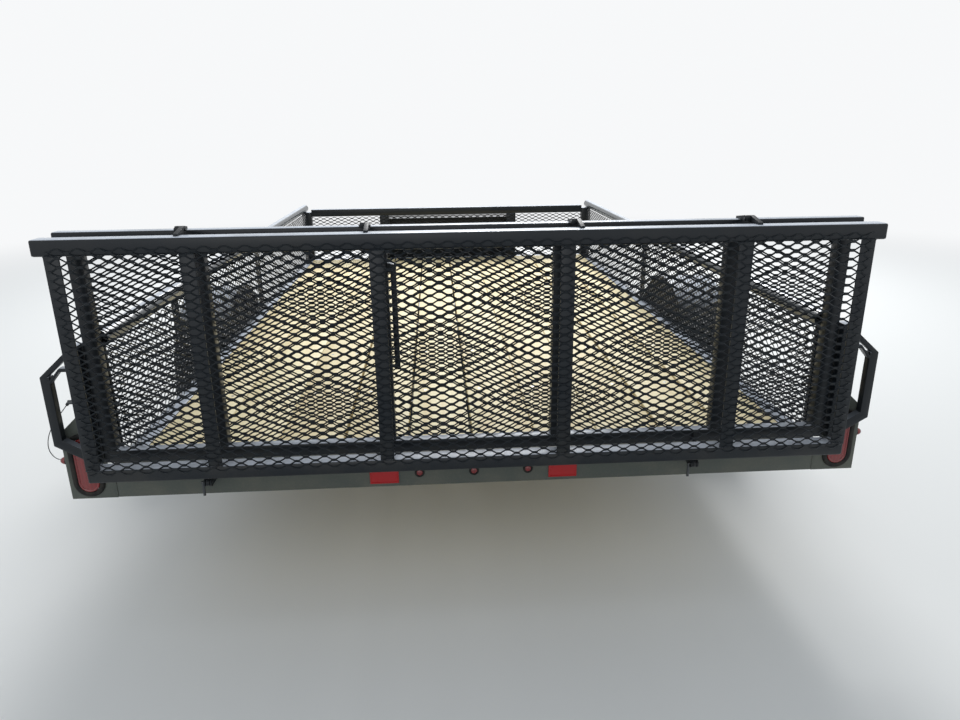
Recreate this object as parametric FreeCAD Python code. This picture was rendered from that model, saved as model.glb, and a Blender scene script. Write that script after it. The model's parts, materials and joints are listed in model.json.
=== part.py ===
import FreeCAD, Part
import math
import os
from FreeCAD import Vector

# Utility trailer, single axle, with a two-part folding ramp gate. Millimetres.
# X is to the right as seen from behind, Y runs forward to the coupler, Z is up from the ground.
# While it is built, Y is measured from the rearmost face of the folded gate.

# Bed and frame
DECK_Z = 560.0                 # top of the planks above the ground
BED_HALF = 1054.0              # middle of the bed to the outer face of a side rail
FRAME_Y = 135.0                # rear face of the rear crossmember
BED_LENGTH = 3402.0            # rear face of the rear crossmember to front face of the front one
RAIL_DEPTH = 127.0             # side rail channel, height
RAIL_FLANGE = 57.0
RAIL_WALL = 7.0
REAR_DEPTH = 108.0             # rear crossmember channel, height
REAR_FLANGE = 45.0
REAR_WALL = 6.0
PLANK = 38.0                   # plank thickness
PLANK_COUNT = 10
PLANK_GAP = 9.0
PLANK_FIT = 1.0                # planks to the steel round them
JOIST_COUNT = 6                # crossmembers under the planks
JOIST_DEPTH = 76.0
JOIST_FLANGE = 38.0
JOIST_WALL = 5.0

# Side and front walls
POST = 51.0                    # angle of the side posts and tube of the corner posts, along the wall
POST_LEG = 25.0                # short leg of the side posts, across the wall
POST_T = 6.0
POST_ROW = [0.0, 0.18, 0.555, 1.0]       # places of the side posts, as shares of the wall
PIPE_R = 25.5                  # top rail pipe
PIPE_WALL = 4.0
PIPE_Z = DECK_Z + 372.0        # axis of the top rail pipes
PIPE_IN = 14.0                 # outer face of a side rail to the pipe's axis
FRONT_RAIL = 51.0
FRONT_RAIL_TOP = DECK_Z + 366.0
FRONT_POST = 66.0              # corner posts and uprights of the front wall, across the wall
FRONT_UPRIGHTS = [-0.441, 0.441]         # places of the uprights, as shares of the half width
MESH_T = 4.0                   # thickness of expanded metal
MESH_LONG = 305.0              # long way of a diamond
MESH_SHORT = 140.0             # short way of a diamond
MESH_STRAND = 24.0             # width of a strand
MESH_LAPS = (30.0, 16.0, 21.0)           # gate mesh over its side bars, bottom bar and top bar
NO_LAP = (0.0, 0.0, 0.0)
MESH_SEAT = 3.0                # side and front mesh above the planks

# Gate, folded and upright. Two halves, one in front of the other
GATE_PROUD = 10.0              # gate past the side rails
GATE_HALF = BED_HALF + GATE_PROUD
GATE_RAIL_OVER = 28.0          # how far the top rails stand out past the panels
GATE_RAIL = 42.0               # top bars, height
GATE_FOOT = 38.0               # bottom bars, height
GATE_SIDE = 38.0               # side bars and uprights, width
GATE_DEEP = 50.0               # bars of the upper half, fore and aft
GATE_TUBE = 38.0               # tubes of the lower half, fore and aft
GATE_ANGLE = 6.0               # angle and flat bar of the upper half, thickness
GATE_GAP = 60.0                # between the two halves
GATE_UPPER_LOW = DECK_Z + 5.0
GATE_LOWER_LOW = DECK_Z + 13.0
GATE_TOP_Z = DECK_Z + 671.0
GATE_LOWER_RISE = 4.0          # top of the lower half above the upper half's
GATE_TO_WALL = 6.0             # mesh of the far half to the rear posts
# places of the uprights, as shares of the half width
UPPER_UPRIGHTS = [-0.674, -0.232, 0.232, 0.674]
LOWER_UPRIGHTS = [-0.686, -0.232, 0.232, 0.686]
HINGE_Y = 96.0                 # axis of the gate's hinges
HINGE_Z = DECK_Z - 50.0
HINGE_ROW = [-0.728, 0.623]    # shares of the half width
HINGE_PIN_R = 4.0
HINGE_BARREL_R = 11.0
HINGE_BARREL = 10.0
HINGE_STRAP = 10.0
HINGE_EAR = 4.0
HINGE_SIDE_GAP = 2.0           # barrel to ear
HINGE_TAIL = 42.0              # bent end of a hinge pin
HINGE_PIN_LEFT = 9.0           # how far a pin stands out to the left of its ear
HINGE_PIN_RIGHT = 2.0
PIN_FIT = 0.06                 # round a pin that turns
FOLD_RISE = 9.0                # fold axis above the top rails
FOLD_ROW = [-0.705, -0.262, 0.262, 0.705]     # shares of the half width
FOLD_EAR_R = 9.0
FOLD_EAR = 11.0                # width of an ear
FOLD_FOOT = 30.0               # how far an ear's foot runs over its rail
FOLD_PLATE = 6.0
FOLD_PIN_R = 4.5
LEG_X = -0.199                 # support leg, share of the half width
LEG_WIDE = 15.0
LEG_T = 12.0
LEG_TOP_Z = DECK_Z + 576.0
LEG_LONG = 296.0
LEG_LUG = 26.0                 # height of the lug that carries it

# Rear corners: post, guard over the lamp, latch pin on the left
CORNER_GAP = 6.0               # gate's side to the corner post
CORNER_POST = 38.0
CORNER_TOP_Z = DECK_Z + 372.0
CORNER_LOW_Z = DECK_Z + 12.0
LAMP_CLEAR = 1.0               # corner post to the lamp's rubber ring
GUARD_BAR = 25.0
GUARD_ARM = 18.0               # upper arm, measured upright
GUARD_LOW_ARM = 31.0           # lower arm, measured upright
GUARD_TOP_Z = DECK_Z + 354.0   # upper arm at the post
GUARD_HIGH_Z = DECK_Z + 285.0  # upper arm at the outer bar
GUARD_LOW_Z = DECK_Z + 80.0    # lower end of the outer bar
GUARD_FOOT_Z = DECK_Z + 33.0   # lower arm at the post
BRACE_T = 10.0
BRACE_Z = DECK_Z + 309.0
BRACE_LEVEL = 24.0             # how far the brace runs level from the post
BRACE_DROP = 34.0
LATCH_Z = DECK_Z + 205.0
LATCH_Y = 114.0
LATCH_R = 6.0
LATCH_OUT = 24.0               # how far it stands out of the post
COLLAR_R = 4.5
COLLAR_LONG = 14.0

# Running gear
AXLE_Y = 1690.0
TYRE_R = 344.0
TYRE_WIDE = 203.0
TREAD_WIDE = 136.0
SHOULDER_R = 302.0
BEAD_R = 190.0
TYRE_GAP = 22.0                # side rail to tyre
RIM_T = 8.0
RIM_SET = 22.0                 # rim's edge inside the tyre's side
DISC_OUT = 24.0                # wheel disc outboard of the tyre's middle
DISC_HOLE_R = 42.0
WINDOW_COUNT = 6
WINDOW_IN_R = 96.0
WINDOW_OUT_R = 160.0
WINDOW_IN_TURN = 17.0          # half the angle of a window, near the hub
WINDOW_OUT_TURN = 21.0
HUB_FLANGE_R = 72.0
HUB_FLANGE_T = 14.0
HUB_R = 33.0
HUB_BACK = 60.0
HUB_CAP = 46.0
SPINDLE_R = 17.0
SPINDLE_END = 18.0             # past the wheel disc's inner face
AXLE_R = 30.0
AXLE_PAST = 60.0               # past the middle of a spring
SPRING_IN = 28.5               # outer face of a side rail to the middle of a spring
SPRING_SPAN = 660.0
SPRING_WIDE = 45.0
SPRING_EYE_R = 17.0
SPRING_ARCH = 58.0
LEAF = 10.0
LEAF_SHARES = [1.0, 0.76, 0.5]
HANGER_T = 5.0
HANGER_HALF = 28.0
FENDER_WIDE = 229.0
FENDER_T = 3.0
FENDER_R = 405.0
FENDER_DROP = 40.0             # below the axle

# Tongue, coupler and jack
TONGUE_LONG = 1219.0           # front of the bed to the ball's centre
TONGUE_DEPTH = 76.0
TONGUE_WIDE = 51.0
TONGUE_BACK = 700.0            # how far its legs run under the bed
TONGUE_SPREAD = 620.0          # middle to a leg's middle, at the back
TONGUE_CLOSE = 52.0            # the same at the coupler
TONGUE_TIP = 90.0              # ball centre back to the legs' ends
COUPLER_NOSE = 62.0
COUPLER_HALF = 36.0
COUPLER_HIGH = 46.0
COUPLER_LONG = 190.0
COUPLER_PLATE = 1.0
COUPLER_PLATE_HALF = 60.0
BALL_R = 25.4
BALL_FIT = 0.6
BALL_DROP = 8.0                # ball centre under the tongue's top
SOCKET_LIP = 22.0              # coupler below the ball's centre
SOCKET_DOME = 22.0
SOCKET_DOME_R = 12.0
JACK_R = 28.5
JACK_LEG_R = 24.0
JACK_FIT = 0.08
JACK_BACK = 330.0              # ball centre back to the jack
JACK_TOP = 440.0               # top of the jack above the tongue
JACK_CAP = 12.0
JACK_LOW_Z = 190.0
JACK_PLATE_T = 8.0
JACK_PLATE_HALF = 150.0
JACK_PLATE_DEEP = 45.0
JACK_LEG_TOP_Z = 520.0
FOOT_R = 60.0
FOOT_T = 8.0
CRANK_R = 9.0
CRANK_RISE = 26.0
CRANK_ARM = 112.0
CRANK_GRIP = 64.0

# Toolbox
BOX_HALF = 457.0
BOX_DEEP = 340.0
BOX_GAP = 26.0                 # from the front wall
BOX_T = 2.5
BOX_TOP_Z = DECK_Z + 285.0
LID_HIGH = 40.0
LID_T = 2.5
LID_OVER = 4.0                 # how far the lid stands out past the box
LID_FIT = 1.0
LID_BARREL_R = 5.0
LID_PIN_R = 2.5
LID_KNUCKLE = 60.0

# Lamps
PLATE_REACH = 132.0            # side rail to the outer edge of a lamp plate
PLATE_T = 5.0
PLATE_SIDE = 50.0              # depth of the plate's folded side
PLATE_LOW_Z = DECK_Z - REAR_DEPTH
PLATE_SHOULDER_Z = DECK_Z + 100.0
PLATE_TOP_Z = DECK_Z + 172.0
LAMP_IN = 57.0                 # outer edge of a plate to the middle of its lamp
LAMP_Z = DECK_Z - 1.0
LAMP_LONG = 170.0
LAMP_WIDE = 60.0
LAMP_PROUD = 5.0
LAMP_DEEP = 23.0
GROMMET = 15.0                 # ring of rubber round a lamp
GROMMET_PROUD = 6.0
MARKER_Z = DECK_Z + 11.0
MARKER_BACK = 30.0
MARKER_R = 12.0
MARKER_PROUD = 12.0
IDENT_ROW = [-164.0, 0.0, 164.0]
IDENT_Z = DECK_Z - 65.0
IDENT_R = 15.0
REFLECTOR_X = 270.0
REFLECTOR_Z = DECK_Z - 74.0
REFLECTOR_LONG = 86.0
REFLECTOR_HIGH = 43.0

# Wire lanyard of the latch pin, on the left: from the collar behind the guard to the plate's side
LANYARD_R = 1.2
# out from the corner post, forward from the gate's rear face, up from the deck
LANYARD_ROUTE = [(31.0, 119.0, 196.0), (47.0, 128.0, 180.0), (68.0, 132.0, 154.0), (97.0, 135.0, 114.0),
                 (113.0, 138.0, 72.0), (115.0, 143.0, 38.0), (104.0, 150.0, 12.0)]
ROUNDING = 0.45                # share of a run that its arc takes
EYE_R = 5.0
EYE_T = 3.0

# Worked out from the sizes above
BED_FRONT = FRAME_Y + BED_LENGTH
BALL_Y = BED_FRONT + TONGUE_LONG
BALL_Z = DECK_Z - RAIL_DEPTH - BALL_DROP
TOTAL = BALL_Y + COUPLER_NOSE
NEAR_Y = MESH_T                              # rear face of the near half's bars
FAR_Y = NEAR_Y + GATE_DEEP + GATE_GAP        # rear face of the far half's bars
WALL_REAR = FAR_Y + GATE_TUBE + MESH_T + GATE_TO_WALL
RAIL_LOW_Z = DECK_Z - RAIL_DEPTH
FOLD_Y = (NEAR_Y + GATE_DEEP + FAR_Y) / 2
FOLD_Z = GATE_TOP_Z + FOLD_RISE
LOWER_TOP_Z = GATE_TOP_Z + GATE_LOWER_RISE
WHEEL_X = BED_HALF + TYRE_GAP + TYRE_WIDE / 2
DISC_X = WHEEL_X + DISC_OUT - RIM_T / 2      # inner face of a wheel disc, where the hub sits
SPRING_X = BED_HALF - SPRING_IN
PIPE_X = BED_HALF - PIPE_IN
PLATE_OUT = BED_HALF + PLATE_REACH
CORNER_IN = GATE_HALF + CORNER_GAP
CORNER_OUT = CORNER_IN + CORNER_POST
GUARD_REAR = FRAME_Y - CORNER_POST
LANYARD = [(-CORNER_OUT - out, y, DECK_Z + z) for out, y, z in LANYARD_ROUTE]
LANYARD.append((-PLATE_OUT - EYE_T, LANYARD[-1][1], LANYARD[-1][2]))


def block(x0, x1, y0, y1, z0, z1):
    return Part.makeBox(x1 - x0, y1 - y0, z1 - z0, Vector(x0, y0, z0))


def rod(start, end, radius):
    a = Vector(*start)
    b = Vector(*end)
    return Part.makeCylinder(radius, (b - a).Length, a, b - a)


def prism(points, along):
    wire = Part.makePolygon([Vector(*p) for p in points] + [Vector(*points[0])])
    return Part.Face(wire).extrude(Vector(*along))


def mirror(shape):
    return shape.mirror(Vector(0, 0, 0), Vector(1, 0, 0))


def pair(shape):
    return [shape, mirror(shape)]


def save(name, solids):
    shape = solids if isinstance(solids, Part.Shape) else Part.makeCompound(solids)
    shape = shape.copy()
    shape.translate(Vector(0, -TOTAL / 2, 0))
    os.makedirs("parts", exist_ok=True)
    shape.exportStep("parts/" + name + ".step")
    print(name, len(shape.Solids), "solid(s)", round(shape.Volume / 1e6, 2), "dm3")


def expanded_metal(u0, u1, v0, v1, laps):
    """Flat sheet in U and V with diamond holes, each row set off by half a diamond."""
    half_u = MESH_LONG / 2 - MESH_STRAND * 1.1
    half_v = MESH_SHORT / 2 - MESH_STRAND * 0.5
    rows = int((v1 - v0) / MESH_SHORT)
    columns = int((u1 - u0) / MESH_LONG)
    mid_u = (u0 + u1) / 2
    mid_v = (v0 + v1) / 2
    holes = []
    for row in range(-rows, rows + 1):
        for column in range(-columns, columns + 1):
            cu = mid_u + (column + (row % 2) / 2) * MESH_LONG
            cv = mid_v + row * MESH_SHORT / 2
            inside_u = u0 <= cu - half_u and cu + half_u <= u1
            inside_v = v0 <= cv - half_v and cv + half_v <= v1
            if inside_u and inside_v:
                holes.append(prism([(cu - half_u, cv, 0), (cu, cv - half_v, 0), (cu + half_u, cv, 0),
                                    (cu, cv + half_v, 0)], (0, 0, MESH_T)))
    side, low, high = laps
    sheet = block(u0 - side, u1 + side, v0 - low, v1 + high, 0, MESH_T)
    return sheet.cut(Part.makeCompound(holes))


def mesh_across(x0, x1, z0, z1, y, laps):
    """Expanded metal in the XZ plane whose rear face is at y."""
    sheet = expanded_metal(x0, x1, z0, z1, laps)
    sheet.rotate(Vector(0, 0, 0), Vector(1, 0, 0), 90)
    sheet.translate(Vector(0, y + MESH_T, 0))
    return sheet


def mesh_along(y0, y1, z0, z1, x):
    """Expanded metal in the YZ plane whose inner face is at x, on the right side."""
    sheet = expanded_metal(y0, y1, z0, z1, NO_LAP)
    sheet.rotate(Vector(0, 0, 0), Vector(1, 0, 0), 90)
    sheet.rotate(Vector(0, 0, 0), Vector(0, 0, 1), 90)
    sheet.translate(Vector(x, 0, 0))
    return sheet


def channel_along(x_web, x_open, y0, y1, z0, z1, wall):
    """C channel along Y. Its web is at x_web and its flanges reach to x_open."""
    side = 1 if x_open > x_web else -1
    points = [(x_web, y0, z0), (x_open, y0, z0), (x_open, y0, z0 + wall),
              (x_web + side * wall, y0, z0 + wall), (x_web + side * wall, y0, z1 - wall),
              (x_open, y0, z1 - wall), (x_open, y0, z1), (x_web, y0, z1)]
    return prism(points, (0, y1 - y0, 0))


def channel_across(y_web, y_open, x0, x1, z0, z1, wall):
    """C channel along X. Its web is at y_web and its flanges reach to y_open."""
    side = 1 if y_open > y_web else -1
    points = [(x0, y_web, z0), (x0, y_open, z0), (x0, y_open, z0 + wall),
              (x0, y_web + side * wall, z0 + wall), (x0, y_web + side * wall, z1 - wall),
              (x0, y_open, z1 - wall), (x0, y_open, z1), (x0, y_web, z1)]
    return prism(points, (x1 - x0, 0, 0))


def frame():
    rail = channel_along(BED_HALF, BED_HALF - RAIL_FLANGE, FRAME_Y + REAR_FLANGE, BED_FRONT - REAR_FLANGE,
                         RAIL_LOW_Z, DECK_Z, RAIL_WALL)
    save("side_rail_right", rail)
    save("side_rail_left", mirror(rail))
    save("rear_crossmember", channel_across(FRAME_Y, FRAME_Y + REAR_FLANGE, -BED_HALF, BED_HALF,
                                            DECK_Z - REAR_DEPTH, DECK_Z, REAR_WALL))
    save("front_crossmember", channel_across(BED_FRONT, BED_FRONT - REAR_FLANGE, -BED_HALF, BED_HALF,
                                             RAIL_LOW_Z, DECK_Z, REAR_WALL))
    joists = []
    inner = BED_HALF - RAIL_WALL
    first = FRAME_Y + REAR_FLANGE
    pitch = (BED_LENGTH - 2 * REAR_FLANGE) / (JOIST_COUNT + 1)
    top = DECK_Z - PLANK
    for number in range(1, JOIST_COUNT + 1):
        y = first + number * pitch
        joists.append(channel_across(y, y + JOIST_FLANGE, -inner, inner, top - JOIST_DEPTH, top, JOIST_WALL))
    save("floor_crossmembers", joists)


def deck():
    half = BED_HALF - RAIL_FLANGE - PLANK_FIT
    wide = (2 * half - (PLANK_COUNT - 1) * PLANK_GAP) / PLANK_COUNT
    planks = []
    rear = FRAME_Y + REAR_FLANGE + PLANK_FIT
    front = BED_FRONT - REAR_FLANGE - PLANK_FIT
    for number in range(PLANK_COUNT):
        x = -half + number * (wide + PLANK_GAP)
        planks.append(block(x, x + wide, rear, front, DECK_Z - PLANK, DECK_Z))
    save("deck_planks", planks)


def side_walls():
    inner = BED_HALF - POST_LEG
    web = BED_HALF - POST_T
    last = BED_FRONT - POST
    top = PIPE_Z - PIPE_R
    posts = []
    for share in POST_ROW[:-1]:
        y = WALL_REAR + share * (last - WALL_REAR)
        corners = [(inner, y, DECK_Z), (BED_HALF, y, DECK_Z), (BED_HALF, y + POST, DECK_Z),
                   (web, y + POST, DECK_Z), (web, y + POST_T, DECK_Z), (inner, y + POST_T, DECK_Z)]
        posts += pair(prism(corners, (0, 0, top - DECK_Z)))
    posts += pair(block(BED_HALF - FRONT_POST, BED_HALF, last, BED_FRONT, DECK_Z, top))
    save("side_posts", posts)
    pipe = rod((PIPE_X, WALL_REAR, PIPE_Z), (PIPE_X, BED_FRONT, PIPE_Z), PIPE_R)
    pipe = pipe.cut(rod((PIPE_X, WALL_REAR, PIPE_Z), (PIPE_X, BED_FRONT, PIPE_Z), PIPE_R - PIPE_WALL))
    save("top_rail_right", pipe)
    save("top_rail_left", mirror(pipe))
    side = mesh_along(WALL_REAR, last, DECK_Z + MESH_SEAT, top, inner - MESH_T)
    save("side_mesh_right", side)
    save("side_mesh_left", mirror(side))


def front_wall():
    inner = BED_HALF - FRONT_POST
    rear = BED_FRONT - POST
    low = FRONT_RAIL_TOP - FRONT_RAIL
    save("front_top_rail", block(-inner, inner, rear, BED_FRONT, low, FRONT_RAIL_TOP))
    uprights = []
    for share in FRONT_UPRIGHTS:
        x = share * BED_HALF - FRONT_POST / 2
        uprights.append(block(x, x + FRONT_POST, rear, BED_FRONT, DECK_Z, low))
    save("front_uprights", uprights)
    save("front_mesh", mesh_across(-inner, inner, DECK_Z + MESH_SEAT, low, rear - MESH_T, NO_LAP))


def gate_half(name, y, mesh_y, bottom, top, uprights, rail_deep, deep):
    """Half of the gate. Its rails are rail_deep fore and aft, its side bars and uprights are deep."""
    half = GATE_HALF
    over = GATE_HALF + GATE_RAIL_OVER
    low = bottom + GATE_FOOT
    high = top - GATE_RAIL
    rails = [block(-half, half, y, y + rail_deep, bottom, low),
             block(-over, over, y, y + rail_deep, high, top)]
    save(name + "_rails", rails)
    side = block(half - GATE_SIDE, half, y, y + deep, low, high)
    side = side.fuse(block(half - GATE_ANGLE, half, y, y + rail_deep, low, high)).removeSplitter()
    bars = pair(side)
    for share in uprights:
        x = share * half - GATE_SIDE / 2
        bars.append(block(x, x + GATE_SIDE, y, y + deep, low, high))
    save(name + "_uprights", bars)
    save(name + "_mesh", mesh_across(-half + GATE_SIDE, half - GATE_SIDE, low, high, mesh_y, MESH_LAPS))


def side_outline(x, points):
    return [(x, y, z) for y, z in points]


def gate_hinges():
    """Knuckles of the gate between two ears of the frame, and pins with a bent tail on the left."""
    ears = []
    knuckles = []
    pins = []
    reach = HINGE_BARREL / 2
    r = HINGE_BARREL_R
    ear_outline = [(FRAME_Y, HINGE_Z - r), (FRAME_Y, HINGE_Z + r), (HINGE_Y - r / 2, HINGE_Z + r),
                   (HINGE_Y - r, HINGE_Z + r / 2), (HINGE_Y - r, HINGE_Z - r / 2),
                   (HINGE_Y - r / 2, HINGE_Z - r)]
    for share in HINGE_ROW:
        x = share * GATE_HALF
        barrel = rod((x - reach, HINGE_Y, HINGE_Z), (x + reach, HINGE_Y, HINGE_Z), r)
        strap = block(x - reach, x + reach, FAR_Y - HINGE_STRAP, FAR_Y, HINGE_Z, GATE_LOWER_LOW + GATE_FOOT)
        bore = rod((x - reach, HINGE_Y, HINGE_Z), (x + reach, HINGE_Y, HINGE_Z), HINGE_PIN_R + PIN_FIT)
        knuckles.append(barrel.fuse(strap).cut(bore).removeSplitter())
        ear_in = reach + HINGE_SIDE_GAP
        ear_out = ear_in + HINGE_EAR
        for x0 in (x - ear_out, x + ear_in):
            ear = prism(side_outline(x0, ear_outline), (HINGE_EAR, 0, 0))
            ears.append(ear.cut(rod((x0, HINGE_Y, HINGE_Z), (x0 + HINGE_EAR, HINGE_Y, HINGE_Z), HINGE_PIN_R)))
        left = x - ear_out - HINGE_PIN_LEFT
        pin = rod((left, HINGE_Y, HINGE_Z), (x + ear_out + HINGE_PIN_RIGHT, HINGE_Y, HINGE_Z), HINGE_PIN_R)
        bend = left + HINGE_PIN_R
        tail = rod((bend, HINGE_Y, HINGE_Z), (bend, HINGE_Y, HINGE_Z - HINGE_TAIL), HINGE_PIN_R - 2 * PIN_FIT)
        pins.append(pin.fuse(tail).removeSplitter())
    save("hinge_ears", ears)
    save("hinge_pins", pins)
    save("gate_lower_knuckles", knuckles)


def fold_ear(x0, foot_y, top, pin_fit):
    """Ear on a top rail, from its foot at foot_y to the fold axis."""
    side = 1 if foot_y > FOLD_Y else -1
    r = FOLD_EAR_R
    outline = [(foot_y, top), (foot_y, top + FOLD_PLATE), (FOLD_Y + side * r / 2, FOLD_Z + r),
               (FOLD_Y - side * r / 2, FOLD_Z + r), (FOLD_Y - side * r, FOLD_Z + r / 2),
               (FOLD_Y - side * r, top)]
    ear = prism(side_outline(x0, outline), (FOLD_EAR, 0, 0))
    return ear.cut(rod((x0, FOLD_Y, FOLD_Z), (x0 + FOLD_EAR, FOLD_Y, FOLD_Z), FOLD_PIN_R + pin_fit))


def fold_hinges():
    lower = []
    upper = []
    pins = []
    for share in FOLD_ROW:
        x = share * GATE_HALF
        lower.append(fold_ear(x - FOLD_EAR - HINGE_SIDE_GAP / 2, FAR_Y + FOLD_FOOT, LOWER_TOP_Z, 0))
        upper.append(fold_ear(x + HINGE_SIDE_GAP / 2, NEAR_Y + GATE_DEEP - FOLD_FOOT, GATE_TOP_Z, PIN_FIT))
        reach = FOLD_EAR + FOLD_PIN_R
        pins.append(rod((x - reach, FOLD_Y, FOLD_Z), (x + reach, FOLD_Y, FOLD_Z), FOLD_PIN_R))
    save("fold_lower_knuckles", lower)
    save("fold_upper_knuckles", upper)
    save("fold_pins", pins)


def support_leg():
    """Leg under the ramp, hung on a lug beside the left inner upright of the lower half."""
    x = LEG_X * GATE_HALF
    upright_x = LOWER_UPRIGHTS[1] * GATE_HALF + GATE_SIDE / 2
    half = LEG_WIDE / 2
    face = FAR_Y - HINGE_STRAP / 2
    leg = block(x - half, x + half, face - LEG_T, face, LEG_TOP_Z - LEG_LONG, LEG_TOP_Z)
    lug = block(upright_x, x + half, face, FAR_Y + LEG_T, LEG_TOP_Z - LEG_LUG, LEG_TOP_Z)
    save("support_leg", leg.fuse(lug).removeSplitter())


def flat_outline(y, points):
    return [(x, y, z) for x, z in points]


def corner_guards():
    """Corner post, cut back beside the lamp, with a D-shaped guard clear of it and a short bent brace."""
    y = GUARD_REAR
    out = PLATE_OUT
    post_x = CORNER_OUT
    lamp_top = LAMP_Z + LAMP_LONG / 2 + GROMMET + LAMP_CLEAR
    shape = block(CORNER_IN, post_x, y, FRAME_Y, CORNER_LOW_Z, CORNER_TOP_Z)
    seat = FRAME_Y - GROMMET_PROUD - LAMP_CLEAR
    shape = shape.cut(block(CORNER_IN, post_x, seat, FRAME_Y, CORNER_LOW_Z, lamp_top))
    shape = shape.fuse(block(out - GUARD_BAR, out, y, y + GUARD_BAR, GUARD_LOW_Z, GUARD_HIGH_Z))
    bend_x = post_x + BRACE_LEVEL
    brace_end = BRACE_Z - BRACE_DROP
    arms = [
        [(post_x, GUARD_TOP_Z), (out, GUARD_HIGH_Z), (out, GUARD_HIGH_Z - GUARD_ARM),
         (post_x, GUARD_TOP_Z - GUARD_ARM)],
        [(post_x, GUARD_FOOT_Z), (out, GUARD_LOW_Z), (out, GUARD_LOW_Z + GUARD_LOW_ARM),
         (post_x, GUARD_FOOT_Z + GUARD_LOW_ARM)],
        [(post_x, BRACE_Z), (bend_x, BRACE_Z), (out - GUARD_BAR, brace_end),
         (out - GUARD_BAR, brace_end - BRACE_T), (bend_x, BRACE_Z - BRACE_T), (post_x, BRACE_Z - BRACE_T)],
    ]
    for arm in arms:
        shape = shape.fuse(prism(flat_outline(y, arm), (0, GUARD_BAR, 0)))
    save("corner_guards", pair(shape.removeSplitter()))


def latch():
    """Latch pin drawn out of the left corner post, and the collar that holds its lanyard."""
    pin = rod((-CORNER_OUT, LATCH_Y, LATCH_Z), (-CORNER_OUT - LATCH_OUT, LATCH_Y, LATCH_Z), LATCH_R)
    start = Vector(*LANYARD[0])
    way = Vector(*LANYARD[1]) - start
    way.normalize()
    collar = Part.makeCylinder(COLLAR_R, COLLAR_LONG, start - way * COLLAR_LONG, way)
    save("latch_pin", pin.fuse(collar).removeSplitter())


def lanyard():
    """Wire of straight runs joined by tangent arcs."""
    points = [Vector(*p) for p in LANYARD]
    edges = []
    last = points[0]
    for before, here, after in zip(points, points[1:], points[2:]):
        back = before - here
        ahead = after - here
        cut = ROUNDING * min(back.Length, ahead.Length)
        back.normalize()
        ahead.normalize()
        turn = math.pi - back.getAngle(ahead)
        radius = cut / math.tan(turn / 2)
        print("lanyard arc radius", round(radius, 1))
        middle = back + ahead
        middle.normalize()
        deep = radius / math.cos(turn / 2) - radius
        edges.append(Part.LineSegment(last, here + back * cut).toShape())
        edges.append(Part.Arc(here + back * cut, here + middle * deep, here + ahead * cut).toShape())
        last = here + ahead * cut
    edges.append(Part.LineSegment(last, points[-1]).toShape())
    path = Part.Wire(edges)
    ring = Part.Wire(Part.makeCircle(LANYARD_R, points[0], points[1] - points[0]))
    tube = path.makePipeShell([ring], True, True)
    share = tube.Volume / (path.Length * math.pi * LANYARD_R ** 2)
    print("lanyard length", round(path.Length, 1), "volume against section times length", round(share, 4))
    save("lanyard", tube)


def wheel(side, name):
    x = side * WHEEL_X
    half = TYRE_WIDE / 2
    section = [(half - RIM_SET / 2, BEAD_R), (half, BEAD_R + RIM_SET), (half, SHOULDER_R),
               (TREAD_WIDE / 2, TYRE_R)]
    outline = [(x + u, AXLE_Y, r) for u, r in section] + [(x - u, AXLE_Y, r) for u, r in reversed(section)]
    face = Part.Face(Part.makePolygon([Vector(*p) for p in outline] + [Vector(*outline[0])]))
    tyre = face.revolve(Vector(0, AXLE_Y, 0), Vector(1, 0, 0), 360)
    tyre.translate(Vector(0, 0, TYRE_R))
    save("tyre_" + name, tyre)

    def disc(x0, x1, radius):
        return rod((x0, AXLE_Y, TYRE_R), (x1, AXLE_Y, TYRE_R), radius)

    rim = disc(x - half + RIM_SET, x + half - RIM_SET, BEAD_R)
    rim = rim.cut(disc(x - half + RIM_SET, x + half - RIM_SET, BEAD_R - RIM_T))
    inner = side * DISC_X
    outer = inner + side * RIM_T
    plate = disc(inner, outer, BEAD_R - RIM_T).cut(disc(inner, outer, DISC_HOLE_R))
    for number in range(WINDOW_COUNT):
        middle = 360.0 / WINDOW_COUNT * number
        corners = []
        for radius, turn in ((WINDOW_IN_R, -WINDOW_IN_TURN), (WINDOW_OUT_R, -WINDOW_OUT_TURN),
                             (WINDOW_OUT_R, WINDOW_OUT_TURN), (WINDOW_IN_R, WINDOW_IN_TURN)):
            angle = math.radians(middle + turn)
            corners.append((inner, AXLE_Y + radius * math.cos(angle), TYRE_R + radius * math.sin(angle)))
        plate = plate.cut(prism(corners, (side * RIM_T, 0, 0)))
    save("rim_" + name, rim.fuse(plate).removeSplitter())
    hub = disc(inner - side * HUB_FLANGE_T, inner, HUB_FLANGE_R)
    hub = hub.fuse(disc(inner - side * HUB_BACK, inner + side * HUB_CAP, HUB_R))
    bore_end = inner + side * (SPINDLE_END + HINGE_SIDE_GAP)
    hub = hub.cut(disc(inner - side * HUB_BACK, bore_end, SPINDLE_R + PIN_FIT))
    save("hub_" + name, hub.removeSplitter())


def axle():
    end = SPRING_X + AXLE_PAST
    beam = rod((-end, AXLE_Y, TYRE_R), (end, AXLE_Y, TYRE_R), AXLE_R)
    for side in (1, -1):
        beam = beam.fuse(rod((side * end, AXLE_Y, TYRE_R), (side * (DISC_X + SPINDLE_END), AXLE_Y, TYRE_R),
                             SPINDLE_R))
    save("axle", beam.removeSplitter())


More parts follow.
